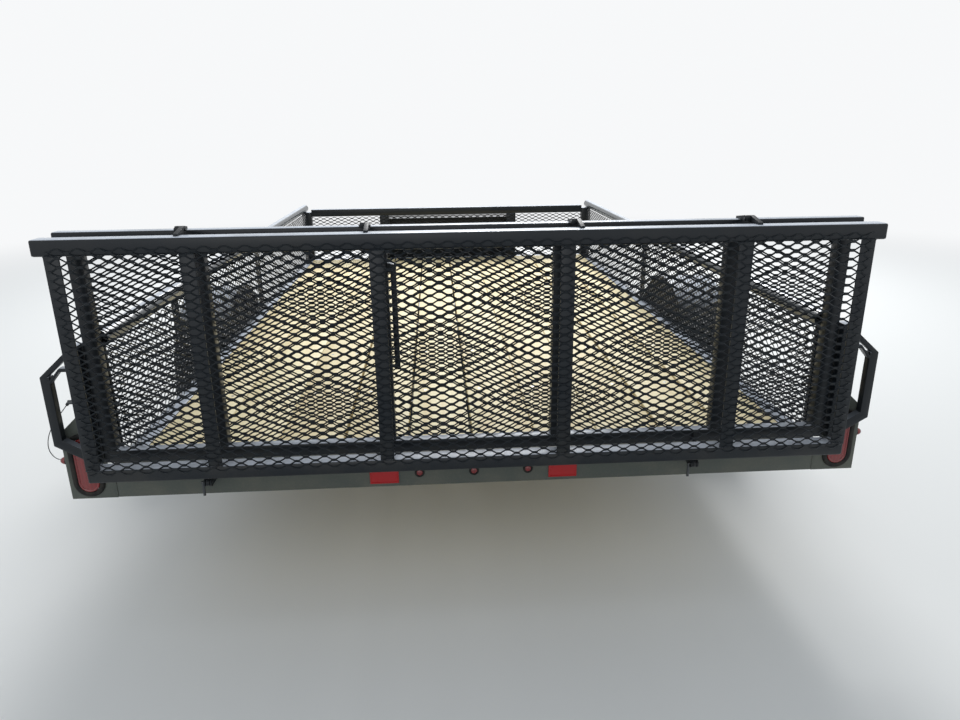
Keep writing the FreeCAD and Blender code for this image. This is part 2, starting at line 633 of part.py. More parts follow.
def springs():
    leaves = []
    top = TYRE_R - AXLE_R
    x = SPRING_X - SPRING_WIDE / 2
    down = Vector(0, 0, -LEAF)
    for number, share in enumerate(LEAF_SHARES):
        span = SPRING_SPAN * share / 2
        z = top - number * LEAF
        rise = SPRING_ARCH * share ** 2
        a = Vector(x, AXLE_Y - span, z + rise)
        middle = Vector(x, AXLE_Y, z)
        b = Vector(x, AXLE_Y + span, z + rise)
        edges = [Part.Arc(a, middle, b).toShape(), Part.makeLine(b, b + down),
                 Part.Arc(b + down, middle + down, a + down).toShape(), Part.makeLine(a + down, a)]
        leaves.append(Part.Face(Part.Wire(edges)).extrude(Vector(SPRING_WIDE, 0, 0)))
    spring = leaves[0].multiFuse(leaves[1:])
    hangers = []
    for way in (-1, 1):
        y = AXLE_Y + way * SPRING_SPAN / 2
        z = top + SPRING_ARCH - LEAF / 2
        spring = spring.fuse(rod((x, y, z), (x + SPRING_WIDE, y, z), SPRING_EYE_R))
        for x0 in (x - HANGER_T, x + SPRING_WIDE):
            hangers += pair(block(x0, x0 + HANGER_T, y - HANGER_HALF, y + HANGER_HALF,
                                  z - SPRING_EYE_R, RAIL_LOW_Z))
    save("leaf_springs", pair(spring.removeSplitter()))
    save("spring_hangers", hangers)


def fenders():
    """Round sheet fender over each wheel, with straight ends below the axle's height."""
    low = TYRE_R - FENDER_DROP

    def arch(r):
        rear = Vector(BED_HALF, AXLE_Y - r, TYRE_R)
        top = Vector(BED_HALF, AXLE_Y, TYRE_R + r)
        front = Vector(BED_HALF, AXLE_Y + r, TYRE_R)
        start = Vector(BED_HALF, AXLE_Y - r, low)
        end = Vector(BED_HALF, AXLE_Y + r, low)
        return start, end, [Part.makeLine(start, rear), Part.Arc(rear, top, front).toShape(),
                            Part.makeLine(front, end)]

    outer_start, outer_end, outer = arch(FENDER_R)
    inner_start, inner_end, inner = arch(FENDER_R - FENDER_T)
    ends = [Part.makeLine(outer_end, inner_end), Part.makeLine(inner_start, outer_start)]
    wire = Part.Wire(outer + [ends[0]] + list(reversed(inner)) + [ends[1]])
    sheet = Part.Face(wire).extrude(Vector(FENDER_WIDE, 0, 0))
    save("fender_right", sheet)
    save("fender_left", mirror(sheet))


def tongue():
    top = RAIL_LOW_Z
    low = top - TONGUE_DEPTH
    back = BED_FRONT - TONGUE_BACK
    tip = BALL_Y - TONGUE_TIP
    wide = TONGUE_WIDE / 2
    outline = [(TONGUE_SPREAD - wide, back, low), (TONGUE_SPREAD + wide, back, low),
               (TONGUE_CLOSE + wide, tip, low),
               (TONGUE_CLOSE - wide, tip, low)]
    save("tongue_rails", pair(prism(outline, (0, 0, TONGUE_DEPTH))))
    high = top + COUPLER_HIGH
    shape = block(-COUPLER_HALF, COUPLER_HALF, tip - COUPLER_LONG, BALL_Y, top + COUPLER_PLATE, high)
    shape = shape.fuse(rod((0, BALL_Y, BALL_Z - SOCKET_LIP), (0, BALL_Y, high), COUPLER_NOSE))
    shape = shape.cut(rod((0, BALL_Y, BALL_Z - SOCKET_LIP), (0, BALL_Y, BALL_Z), BALL_R + BALL_FIT))
    shape = shape.cut(Part.makeCone(BALL_R + BALL_FIT, SOCKET_DOME_R, SOCKET_DOME, Vector(0, BALL_Y, BALL_Z)))
    plate = block(-COUPLER_PLATE_HALF, COUPLER_PLATE_HALF, tip - COUPLER_LONG, tip, top, top + COUPLER_PLATE)
    save("coupler", shape.fuse(plate).removeSplitter())


def jack():
    y = BALL_Y - JACK_BACK
    base = RAIL_LOW_Z
    top = base + JACK_TOP
    tube = rod((0, y, JACK_LOW_Z), (0, y, top), JACK_R)
    plate = block(-JACK_PLATE_HALF, JACK_PLATE_HALF, y - JACK_PLATE_DEEP, y + JACK_PLATE_DEEP,
                  base, base + JACK_PLATE_T)
    tube = tube.fuse(plate)
    save("jack_tube", tube.cut(rod((0, y, JACK_LOW_Z), (0, y, top - JACK_CAP), JACK_LEG_R + JACK_FIT)))
    arm_low = top + CRANK_RISE - CRANK_R
    crank = rod((0, y, top), (0, y, arm_low), CRANK_R)
    arm = block(-CRANK_R, CRANK_ARM + CRANK_R, y - CRANK_R, y + CRANK_R, arm_low, top + CRANK_RISE)
    crank = crank.fuse(arm)
    grip = rod((CRANK_ARM, y, top + CRANK_RISE), (CRANK_ARM, y, top + CRANK_RISE + CRANK_GRIP), CRANK_R)
    save("jack_crank", crank.fuse(grip).removeSplitter())
    leg = rod((0, y, FOOT_T), (0, y, JACK_LEG_TOP_Z), JACK_LEG_R)
    leg = leg.fuse(rod((0, y, 0), (0, y, FOOT_T), FOOT_R))
    save("jack_leg", leg.removeSplitter())


def toolbox():
    """Sheet box across the tongue. Its lid turns on a long barrel at the top of the rear side."""
    y0 = BED_FRONT + BOX_GAP
    y1 = y0 + BOX_DEEP
    low = RAIL_LOW_Z
    high = BOX_TOP_Z - LID_HIGH
    half = BOX_HALF
    shell = block(-half, half, y0, y1, low, high)
    inside = block(-half + BOX_T, half - BOX_T, y0 + BOX_T, y1 - BOX_T, low + BOX_T, high)
    shell = shell.cut(inside)
    shell = shell.fuse(block(-half, half, y0, y0 + BOX_T, high, BOX_TOP_Z - LID_T - LID_FIT))
    over = half + LID_OVER
    lid = block(-over, over, y0 + BOX_T + LID_FIT, y1 + LID_OVER, high + LID_FIT / 2, BOX_TOP_Z)
    lid = lid.cut(block(-half - LID_FIT, half + LID_FIT, y0, y1 + LID_FIT, high, BOX_TOP_Z - LID_T))
    lid = lid.fuse(block(-over, over, y0, y0 + BOX_T + LID_FIT, BOX_TOP_Z - LID_T, BOX_TOP_Z))
    lid_half = half - LID_KNUCKLE - LID_FIT
    axis_y = y0 - LID_BARREL_R
    axis_z = BOX_TOP_Z - LID_BARREL_R

    def barrel(x0, x1, radius):
        return rod((x0, axis_y, axis_z), (x1, axis_y, axis_z), radius)

    lid = lid.fuse(barrel(-lid_half, lid_half, LID_BARREL_R))
    lid = lid.fuse(block(-lid_half, lid_half, axis_y, y0, BOX_TOP_Z - LID_T, BOX_TOP_Z))
    lid = lid.cut(barrel(-half, half, LID_PIN_R + PIN_FIT))
    for x0, x1 in ((-half, -lid_half - LID_FIT), (lid_half + LID_FIT, half)):
        shell = shell.fuse(barrel(x0, x1, LID_BARREL_R))
        shell = shell.fuse(block(x0, x1, axis_y, y0, axis_z - LID_BARREL_R, axis_z))
    shell = shell.cut(barrel(-half, half, LID_PIN_R))
    save("toolbox", shell.removeSplitter())
    save("toolbox_lid", lid.removeSplitter())
    save("lid_pin", barrel(-half, half, LID_PIN_R))


def stadium(x, z, long, wide, y0, y1):
    """Upright bar with round ends, seen from behind."""
    r = wide / 2
    h = long / 2 - r
    corners = [Vector(x - r, y0, z - h), Vector(x - r, y0, z + h), Vector(x + r, y0, z + h),
               Vector(x + r, y0, z - h)]
    edges = [Part.makeLine(corners[0], corners[1]),
             Part.Arc(corners[1], Vector(x, y0, z + h + r), corners[2]).toShape(),
             Part.makeLine(corners[2], corners[3]),
             Part.Arc(corners[3], Vector(x, y0, z - h - r), corners[0]).toShape()]
    return Part.Face(Part.Wire(edges)).extrude(Vector(0, y1 - y0, 0))


def lamp_plates():
    y0 = FRAME_Y
    y1 = FRAME_Y + PLATE_T
    outline = [(BED_HALF, PLATE_LOW_Z), (PLATE_OUT, PLATE_LOW_Z), (PLATE_OUT, PLATE_SHOULDER_Z),
               (CORNER_OUT, PLATE_TOP_Z), (CORNER_IN, PLATE_TOP_Z), (CORNER_IN, DECK_Z), (BED_HALF, DECK_Z)]
    plate = prism(flat_outline(y0, outline), (0, PLATE_T, 0))
    side = block(PLATE_OUT - PLATE_T, PLATE_OUT, y1, y1 + PLATE_SIDE, PLATE_LOW_Z, PLATE_SHOULDER_Z)
    plate = plate.fuse(side)
    lamp_x = PLATE_OUT - LAMP_IN
    hole = stadium(lamp_x, LAMP_Z, LAMP_LONG + GROMMET, LAMP_WIDE + GROMMET, y0, y1)
    plate = plate.cut(hole).removeSplitter()
    eye_y = LANYARD[-1][1]
    eye_z = LANYARD[-1][2]
    eye = rod((-PLATE_OUT - EYE_T, eye_y, eye_z), (-PLATE_OUT, eye_y, eye_z), EYE_R)
    save("lamp_plates", [plate, mirror(plate).fuse(eye).removeSplitter()])
    ring = stadium(lamp_x, LAMP_Z, LAMP_LONG + 2 * GROMMET, LAMP_WIDE + 2 * GROMMET, y0 - GROMMET_PROUD, y0)
    ring = ring.cut(stadium(lamp_x, LAMP_Z, LAMP_LONG, LAMP_WIDE, y0 - GROMMET_PROUD, y0))
    save("lamp_grommets", pair(ring))
    save("tail_lamps", pair(stadium(lamp_x, LAMP_Z, LAMP_LONG, LAMP_WIDE, y0 - LAMP_PROUD, y0 + LAMP_DEEP)))


def small_lamps():
    y0 = FRAME_Y
    lamps = [rod((x, y0 - LAMP_PROUD, IDENT_Z), (x, y0, IDENT_Z), IDENT_R) for x in IDENT_ROW]
    marker_y = y0 + PLATE_T + MARKER_BACK
    tip_x = PLATE_OUT + MARKER_PROUD
    lamps += pair(rod((PLATE_OUT, marker_y, MARKER_Z), (tip_x, marker_y, MARKER_Z), MARKER_R))
    save("marker_lamps", lamps)
    x0 = REFLECTOR_X - REFLECTOR_LONG / 2
    low = REFLECTOR_Z - REFLECTOR_HIGH / 2
    save("reflectors", pair(block(x0, x0 + REFLECTOR_LONG, y0 - LAMP_PROUD, y0, low, low + REFLECTOR_HIGH)))


frame()
deck()
side_walls()
front_wall()
gate_half("gate_upper", NEAR_Y, 0, GATE_UPPER_LOW, GATE_TOP_Z, UPPER_UPRIGHTS, GATE_DEEP, GATE_ANGLE)
gate_half("gate_lower", FAR_Y, FAR_Y + GATE_TUBE, GATE_LOWER_LOW, LOWER_TOP_Z, LOWER_UPRIGHTS,
          GATE_TUBE, GATE_TUBE)
gate_hinges()
fold_hinges()
support_leg()
corner_guards()
latch()
lanyard()
wheel(1, "right")
wheel(-1, "left")
axle()
springs()
fenders()
tongue()
jack()
toolbox()
lamp_plates()
small_lamps()
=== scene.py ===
# %% [markdown]
# # Utility trailer, seen from behind
#
# The object is a single-axle utility trailer with a plank deck, expanded metal walls, a ramp gate folded
# in two and a toolbox on the tongue. The solids come from a CAD model that is already in place, so this
# lesson only dresses them: rounded edges, real expanded metal, tread, lenses, welds and surfaces.

import json
import math

import bmesh
import bpy
import numpy as np
from mathutils import Matrix, Vector


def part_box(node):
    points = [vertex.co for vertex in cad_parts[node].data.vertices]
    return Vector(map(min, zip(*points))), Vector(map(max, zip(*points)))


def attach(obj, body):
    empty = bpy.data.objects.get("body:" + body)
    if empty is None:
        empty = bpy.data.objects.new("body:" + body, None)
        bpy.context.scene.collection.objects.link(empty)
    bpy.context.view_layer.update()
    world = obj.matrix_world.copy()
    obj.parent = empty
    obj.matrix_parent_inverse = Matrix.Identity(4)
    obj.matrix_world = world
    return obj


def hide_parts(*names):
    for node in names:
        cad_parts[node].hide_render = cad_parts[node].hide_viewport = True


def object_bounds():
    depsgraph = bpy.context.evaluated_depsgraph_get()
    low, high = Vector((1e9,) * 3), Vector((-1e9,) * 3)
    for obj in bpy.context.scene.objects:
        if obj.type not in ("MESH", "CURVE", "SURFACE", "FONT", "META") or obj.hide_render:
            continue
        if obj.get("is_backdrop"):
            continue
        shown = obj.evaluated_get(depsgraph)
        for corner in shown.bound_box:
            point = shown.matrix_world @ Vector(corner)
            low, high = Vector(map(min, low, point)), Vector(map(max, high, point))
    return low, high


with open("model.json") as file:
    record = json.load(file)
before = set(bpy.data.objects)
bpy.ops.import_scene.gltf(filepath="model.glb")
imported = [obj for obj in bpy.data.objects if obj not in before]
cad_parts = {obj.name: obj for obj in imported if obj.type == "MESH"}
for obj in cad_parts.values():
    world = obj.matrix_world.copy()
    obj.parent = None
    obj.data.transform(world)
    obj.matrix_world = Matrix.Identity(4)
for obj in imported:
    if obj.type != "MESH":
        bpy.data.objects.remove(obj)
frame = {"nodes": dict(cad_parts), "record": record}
cad_box = [list(corner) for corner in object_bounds()]
nodes = frame["nodes"]
body_of_node = {}
for body, names in frame["record"]["behaviour"]["bodies"].items():
    for node in names:
        body_of_node[node] = body
slot_of_node = {part["node"]: part["material_slot"] for part in frame["record"]["subparts"]}

# %% [markdown]
# ## Camera
#
# The photograph was taken by someone standing behind the trailer, a little left of its middle, with the
# camera tipped down. Yaw, pitch and roll come from the lines of the gate, deck and rails. A camera looks
# along its own -Z, so its matrix is built from three axes: right, up and the reverse of the way it looks.

# %% Camera at the photograph's angle
LENS = 26.71                      # millimetres on a 36 mm sensor
CAMERA_X = -0.0945
CAMERA_BEHIND = 1.808             # rear face of the gate back to the camera
CAMERA_Z = 1.483
YAW = math.radians(3.43)
PITCH = math.radians(18.13)
ROLL = math.radians(-0.66)

look = Vector((math.sin(YAW) * math.cos(PITCH), math.cos(YAW) * math.cos(PITCH), -math.sin(PITCH)))
level = Vector((math.cos(YAW), -math.sin(YAW), 0))
above = level.cross(look)
right = level * math.cos(ROLL) + above * math.sin(ROLL)
up = above * math.cos(ROLL) - level * math.sin(ROLL)
camera_data = bpy.data.cameras.new("camera")
camera_data.lens = LENS
camera_data.sensor_width = 36
camera = bpy.data.objects.new("camera", camera_data)
bpy.context.scene.collection.objects.link(camera)
camera.matrix_world = Matrix.Translation((CAMERA_X, cad_box[0][1] - CAMERA_BEHIND, CAMERA_Z)) @ Matrix(
    (right, up, -look)).transposed().to_4x4()
bpy.context.scene.camera = camera
print("camera at", [round(value, 3) for value in camera.matrix_world.translation])

# %% [markdown]
# ## Colours
#
# Blender works with linear light, while the colours given here are in the screen's own scale. One small
# function turns the second into the first, so every colour below can be read as plain 0 to 255 values.


# %% Colours, written as they look on a screen
def tint(red, green, blue):
    """Screen colour, 0 to 255, as a linear colour with full cover."""
    linear = []
    for value in (red, green, blue):
        share = value / 255
        linear.append(share / 12.92 if share <= 0.04045 else ((share + 0.055) / 1.055) ** 2.4)
    return (*linear, 1.0)


CHARCOAL = tint(25, 30, 35)
CHARCOAL_LIGHT = tint(52, 58, 63)
STEEL = tint(150, 152, 152)
PLATE_GREY = tint(78, 83, 78)
DUST = tint(150, 140, 120)
PINE = tint(243, 232, 192)
PINE_LATE = tint(224, 201, 150)
KNOT = tint(140, 96, 56)
TYRE = tint(31, 31, 32)
RUBBER = tint(13, 14, 15)
ZINC = tint(168, 172, 176)
WHEEL_SILVER = tint(196, 199, 202)
LENS_RED = tint(118, 30, 31)
REFLECTOR_RED = tint(170, 14, 20)
FLOOR = tint(226, 226, 224)
BACKDROP = (0.93, 0.94, 0.95, 1.0)
# Steel drawn darker than the zinc: painted shade for the pins and the lanyard's wire.
PIN_STEEL_SHADED = tint(84, 87, 90)
# Pale blue-grey of the painted sheen on upper faces, a painted reflection of the sky.
SKY_SHEEN = tint(206, 213, 224)
print("charcoal in linear light", [round(value, 4) for value in CHARCOAL])

# %% [markdown]
# ## Effects that several materials share
#
# Paint on a working trailer rubs thin on its edges, gathers dust low down and has a faint texture from
# spraying. Each effect is a node group with named inputs, so a material can use it with its own values.
# The groups put out only masks and heights. The shader itself stays in each material.


# %% A helper that builds a node group
def new_group(name, inputs, outputs):
    """Node group with float sockets. inputs is a table of name and value, outputs a list of names."""
    group = bpy.data.node_groups.new(name, "ShaderNodeTree")
    for label, value in inputs:
        socket = group.interface.new_socket(label, in_out="INPUT", socket_type="NodeSocketFloat")
        socket.default_value = value
    for label, kind in outputs:
        group.interface.new_socket(label, in_out="OUTPUT", socket_type=kind)
    return group, group.nodes.new("NodeGroupInput"), group.nodes.new("NodeGroupOutput")


def math_node(tree, operation, first, second=None):
    """Math node fed by sockets or numbers, which returns its output socket."""
    node = tree.nodes.new("ShaderNodeMath")
    node.operation = operation
    for socket, value in zip(node.inputs, (first, second)):
        if isinstance(value, bpy.types.NodeSocket):
            tree.links.new(value, socket)
        elif value is not None:
            socket.default_value = value
    return node.outputs[0]


def noise_node(tree, scale, detail, vector, roughness=0.5):
    """Noise texture on a vector socket, which returns its value socket."""
    node = tree.nodes.new("ShaderNodeTexNoise")
    node.inputs["Detail"].default_value = detail
    node.inputs["Roughness"].default_value = roughness
    if isinstance(scale, bpy.types.NodeSocket):
        tree.links.new(scale, node.inputs["Scale"])
    else:
        node.inputs["Scale"].default_value = scale
    tree.links.new(vector, node.inputs["Vector"])
    return node.outputs[0]


def ramp_node(tree, value, low, high):
    """Smooth step of a value from low to high, as a socket from 0 to 1."""
    node = tree.nodes.new("ShaderNodeMapRange")
    node.interpolation_type = "SMOOTHSTEP"
    tree.links.new(value, node.inputs["Value"])
    for label, limit in (("From Min", low), ("From Max", high)):
        if isinstance(limit, bpy.types.NodeSocket):
            tree.links.new(limit, node.inputs[label])
        else:
            node.inputs[label].default_value = limit
    return node.outputs["Result"]


print("helpers for node groups ready")

# %% [markdown]
# Worn edges: the Bevel node gives the normal that the surface would have if its edges were round. Where
# it turns away from the true normal there is an edge. Noise breaks the mask up, since wear is uneven.

# %% Worn edges
group, inside, outside = new_group("worn edges", (("Radius", 0.004), ("Scale", 60.0)),
                                   (("Mask", "NodeSocketFloat"),))
bevel = group.nodes.new("ShaderNodeBevel")
bevel.samples = 4
group.links.new(inside.outputs["Radius"], bevel.inputs["Radius"])
geometry = group.nodes.new("ShaderNodeNewGeometry")
dot = group.nodes.new("ShaderNodeVectorMath")
dot.operation = "DOT_PRODUCT"
group.links.new(bevel.outputs["Normal"], dot.inputs[0])
group.links.new(geometry.outputs["Normal"], dot.inputs[1])
place = group.nodes.new("ShaderNodeTexCoord")
edge = ramp_node(group, math_node(group, "SUBTRACT", 1.0, dot.outputs["Value"]), 0.02, 0.2)
uneven = noise_node(group, inside.outputs["Scale"], 4, place.outputs["Object"])
patchy = ramp_node(group, uneven, 0.42, 0.62)
group.links.new(math_node(group, "MULTIPLY", edge, patchy), outside.inputs["Mask"])
worn_edges = group
print("group", group.name)

# %% [markdown]
# Road dust: more of it low down, in soft patches. Object coordinates stay with a piece when it moves.

# %% Road dust
group, inside, outside = new_group("road dust", (("Clean Height", 0.9), ("Scale", 7.0), ("Amount", 0.5)),
                                   (("Mask", "NodeSocketFloat"),))
place = group.nodes.new("ShaderNodeTexCoord")
split = group.nodes.new("ShaderNodeSeparateXYZ")
group.links.new(place.outputs["Object"], split.inputs[0])
high_up = ramp_node(group, split.outputs["Z"], 0.05, inside.outputs["Clean Height"])
low_down = math_node(group, "SUBTRACT", 1.0, high_up)
cloud = ramp_node(group, noise_node(group, inside.outputs["Scale"], 5, place.outputs["Object"]), 0.35, 0.75)
speck = ramp_node(group, noise_node(group, 180.0, 2, place.outputs["Object"]), 0.45, 0.75)
layer = math_node(group, "ADD", math_node(group, "MULTIPLY", cloud, 0.7),
                  math_node(group, "MULTIPLY", speck, 0.3))
by_height = math_node(group, "ADD", math_node(group, "MULTIPLY", low_down, 0.8), 0.2)
mask = math_node(group, "MULTIPLY", by_height, layer)
group.links.new(math_node(group, "MULTIPLY", mask, inside.outputs["Amount"]), outside.inputs["Mask"])
road_dust = group
print("group", group.name)

# %% [markdown]
# Spray texture: sprayed paint dries with a fine ripple like the skin of an orange, and rolled steel under
# it is a little wavy. One fine and one wide noise make a height for the bump.

# %% Spray texture
group, inside, outside = new_group("spray texture", (("Fine Scale", 900.0), ("Wide Scale", 14.0)),
                                   (("Height", "NodeSocketFloat"),))
place = group.nodes.new("ShaderNodeTexCoord")
fine = noise_node(group, inside.outputs["Fine Scale"], 2, place.outputs["Object"])
wide = noise_node(group, inside.outputs["Wide Scale"], 2, place.outputs["Object"])
height = math_node(group, "ADD", math_node(group, "MULTIPLY", fine, 0.25), wide)
group.links.new(height, outside.inputs["Height"])
spray_texture = group
print("group", group.name)

# %% [markdown]
# Painted sheen on upper faces: where a face looks up, its colour is mixed towards a pale blue-grey. This is
# a painted reflection of the sky and of the lamp ahead, so such a face shines while the upright ones stay
# dark. The object's own normal says which faces look up, so the painted sheen moves with the piece. Noise
# leaves it thinner in places.

# %% Painted sheen on upper faces
group, inside, outside = new_group("upper film", (("Scale", 9.0), ("Amount", 0.6)),
                                   (("Mask", "NodeSocketFloat"),))
place = group.nodes.new("ShaderNodeTexCoord")
split = group.nodes.new("ShaderNodeSeparateXYZ")
group.links.new(place.outputs["Normal"], split.inputs[0])
facing = ramp_node(group, split.outputs["Z"], 0.72, 0.97)
thin = ramp_node(group, noise_node(group, inside.outputs["Scale"], 4, place.outputs["Object"]), 0.2, 0.6)
thinned = math_node(group, "ADD", math_node(group, "MULTIPLY", thin, 0.35), 0.65)
sheen = math_node(group, "MULTIPLY", facing, thinned)
group.links.new(math_node(group, "MULTIPLY", sheen, inside.outputs["Amount"]), outside.inputs["Mask"])
upper_face_sheen = group
print("group", group.name)

# %% [markdown]
# Tread plate: short raised bars in two directions by turns. A tile is found for each point, neighbouring
# tiles turn the other way, and the distance from the tile's own line gives the bar.

# %% Tread plate
group, inside, outside = new_group("tread plate", (("Scale", 34.0),), (("Height", "NodeSocketFloat"),))
place = group.nodes.new("ShaderNodeTexCoord")
split = group.nodes.new("ShaderNodeSeparateXYZ")
group.links.new(place.outputs["Object"], split.inputs[0])
flat_u = math_node(group, "MULTIPLY", math_node(group, "ADD", split.outputs["X"], split.outputs["Y"]),
                   inside.outputs["Scale"])
flat_v = math_node(group, "MULTIPLY", math_node(group, "SUBTRACT", split.outputs["Z"], split.outputs["Y"]),
                   inside.outputs["Scale"])
near_u = math_node(group, "SUBTRACT", math_node(group, "FRACT", flat_u), 0.5)
near_v = math_node(group, "SUBTRACT", math_node(group, "FRACT", flat_v), 0.5)
turn = math_node(group, "SUBTRACT", 1.0, math_node(group, "MULTIPLY", 2.0, math_node(
    group, "FLOORED_MODULO", math_node(group, "ADD", math_node(group, "FLOOR", flat_u),
                                       math_node(group, "FLOOR", flat_v)), 2.0)))
mirrored = math_node(group, "MULTIPLY", near_v, turn)
across = math_node(group, "ABSOLUTE", math_node(group, "SUBTRACT", near_u, mirrored))
along = math_node(group, "ABSOLUTE", math_node(group, "ADD", near_u, mirrored))
bar = math_node(group, "SUBTRACT", 1.0, ramp_node(group, across, 0.10, 0.22))
cut = math_node(group, "SUBTRACT", 1.0, ramp_node(group, along, 0.55, 0.80))
group.links.new(math_node(group, "MULTIPLY", bar, cut), outside.inputs["Height"])
tread_plate = group
print("group", group.name)

# %% [markdown]
# ## Materials
#
# Each material holds its own Principled shader. A value that is the same all over the surface is set on
# the shader's own socket, and only what changes over the surface comes through nodes.


# %% A helper that starts a material
def new_material(name, color, roughness, metallic=0.0, **sockets):
    """Material with its tree, shader and constant values set on the shader's sockets."""
    material = bpy.data.materials.new(name)
    material.use_nodes = True
    tree = material.node_tree
    shader = tree.nodes["Principled BSDF"]
    shader.inputs["Base Color"].default_value = color
    shader.inputs["Roughness"].default_value = roughness
    shader.inputs["Metallic"].default_value = metallic
    for label, value in sockets.items():
        shader.inputs[label.replace("_", " ")].default_value = value
    material.diffuse_color = color
    return material, tree, shader


def use_group(tree, group, **values):
    """Group node with its own values."""
    node = tree.nodes.new("ShaderNodeGroup")
    node.node_tree = group
    for label, value in values.items():
        node.inputs[label.replace("_", " ")].default_value = value
    return node


def mix_color(tree, mask, first, second):
    """Mix two colours, each a value or a socket, by a mask socket."""
    node = tree.nodes.new("ShaderNodeMix")
    node.data_type = "RGBA"
    tree.links.new(mask, node.inputs["Factor"])
    for socket, value in ((node.inputs["A"], first), (node.inputs["B"], second)):
        if isinstance(value, bpy.types.NodeSocket):
            tree.links.new(value, socket)
        else:
            socket.default_value = value
    return node.outputs["Result"]


def add_bump(tree, shader, height, strength, distance):
    """Bump from a height socket into the shader's normal."""
    bump = tree.nodes.new("ShaderNodeBump")
    bump.inputs["Strength"].default_value = strength
    bump.inputs["Distance"].default_value = distance
    tree.links.new(height, bump.inputs["Height"])
    tree.links.new(bump.outputs["Normal"], shader.inputs["Normal"])


print("helpers for materials ready")

# %% [markdown]
# Painted steel: the frame, walls and gate are sprayed a cool charcoal, half gloss, and the upper faces of
# the frame and gate carry a painted pale sheen that stands for the reflection of the sky. The same recipe
# with other values gives the mesh, the plates and the toolbox.


# %% Painted steel
def painted_steel(name, color, worn_color, roughness, dust, edge=0.003, ripple=0.12, gloss=0.25, sheen=0.0,
                  tread=False):
    """Sprayed paint, worn at its edges, dusty low down and with a painted sheen on upper faces.

    gloss is how much of a mirror it is when seen straight on, sheen how strong the painted sheen is, and
    tread adds the raised bars of tread plate.
    """
    material, tree, shader = new_material(name, color, roughness, Specular_IOR_Level=gloss)
    wear = use_group(tree, worn_edges, Radius=edge, Scale=55.0)
    grime = use_group(tree, road_dust, Amount=dust)
    worn = mix_color(tree, wear.outputs["Mask"], color, worn_color)
    dusty = mix_color(tree, grime.outputs["Mask"], worn, DUST)
    sheen_on_top = use_group(tree, upper_face_sheen, Amount=sheen)
    # Upper faces are mixed towards the pale blue-grey: a painted sheen standing for reflected sky and lamp
    # light.
    tree.links.new(mix_color(tree, sheen_on_top.outputs["Mask"], dusty, SKY_SHEEN), shader.inputs["Base Color"])
    rough = math_node(tree, "ADD", math_node(tree, "MULTIPLY", grime.outputs["Mask"], 0.35), roughness)
    tree.links.new(rough, shader.inputs["Roughness"])
    texture = use_group(tree, spray_texture)
    height = texture.outputs["Height"]
    if tread:
        bars = use_group(tree, tread_plate)
        height = math_node(tree, "ADD", math_node(tree, "MULTIPLY", height, 0.12), bars.outputs["Height"])
    add_bump(tree, shader, height, ripple, 0.002)
    return material


# The frame carries a strong painted sheen on its upper faces.
frame_paint = painted_steel("charcoal frame paint", CHARCOAL, CHARCOAL_LIGHT, 0.33, 0.12, sheen=0.85)
mesh_paint = painted_steel("charcoal mesh paint", CHARCOAL, CHARCOAL_LIGHT, 0.36, 0.06, edge=0.0012,
                           ripple=0.04)
# The rail paint is the frame's charcoal drawn lighter and bluer. This lit copy of the same paint is painted
# light for the shine of the round rails.
rail_paint = painted_steel("charcoal rail paint", tint(44, 51, 57), tint(120, 126, 130), 0.26, 0.08,
                           gloss=0.6, sheen=0.8)
plate_paint = painted_steel("lamp plate paint", PLATE_GREY, tint(120, 124, 118), 0.5, 0.3)
toolbox_paint = painted_steel("toolbox paint", tint(24, 26, 29), tint(84, 87, 90), 0.5, 0.1, ripple=0.3,
                              tread=True)
hinge_paint = painted_steel("charcoal hinge paint", CHARCOAL, CHARCOAL_LIGHT, 0.5, 0.2)
hub_metal = painted_steel("black primer", tint(24, 24, 25), tint(84, 80, 76), 0.55, 0.4)
for paint in (frame_paint, mesh_paint, rail_paint, plate_paint, toolbox_paint, hinge_paint, hub_metal):
    print("paint", paint.name)

# %% [markdown]
# Bare and plated metal: the nuts, the jack and the coupler are zinc plated, which is a metal with soft
# cloudy spots. The pins and the lanyard's wire are drawn in a darker copy of the plated metal, as painted
# shade. The wheels are painted silver.


# %% Plated metal and wheel paint
def plated_metal(name, color, roughness, dust):
    """Zinc plate: a metal with cloudy patches in colour and roughness."""
    material, tree, shader = new_material(name, color, roughness, metallic=1.0)
    place = tree.nodes.new("ShaderNodeTexCoord")
    cloud = noise_node(tree, 45.0, 6, place.outputs["Object"])
    grime = use_group(tree, road_dust, Amount=dust)
    cloudy = mix_color(tree, cloud, tuple(value * 0.72 for value in color[:3]) + (1.0,), color)
    tree.links.new(mix_color(tree, grime.outputs["Mask"], cloudy, DUST), shader.inputs["Base Color"])
    tree.links.new(math_node(tree, "ADD", math_node(tree, "MULTIPLY", cloud, 0.25), roughness - 0.1),
                   shader.inputs["Roughness"])
    texture = use_group(tree, spray_texture, Fine_Scale=1400.0, Wide_Scale=90.0)
    add_bump(tree, shader, texture.outputs["Height"], 0.08, 0.001)
    return material


bare_steel = plated_metal("zinc plated nuts", ZINC, 0.34, 0.2)
jack_zinc = plated_metal("zinc plated jack", tint(150, 154, 158), 0.40, 0.35)
rim_paint = painted_steel("silver wheel paint", WHEEL_SILVER, STEEL, 0.32, 0.45, ripple=0.05, gloss=0.6)
# The pins take a darker copy of the plated metal, painted shade.
pin_steel_shaded = plated_metal("steel pins in painted shade", PIN_STEEL_SHADED, 0.45, 0.15)
print("metals", bare_steel.name, jack_zinc.name, rim_paint.name)

# %% [markdown]
# Pine planks: boards are sawn along the trunk, so the grain runs the length of each board as long bands
# of pale early wood and darker late wood, with a few knots. Stretched noise gives the bands. The board's
# number comes from its place across the deck, and shifts the pattern so that no two boards match.

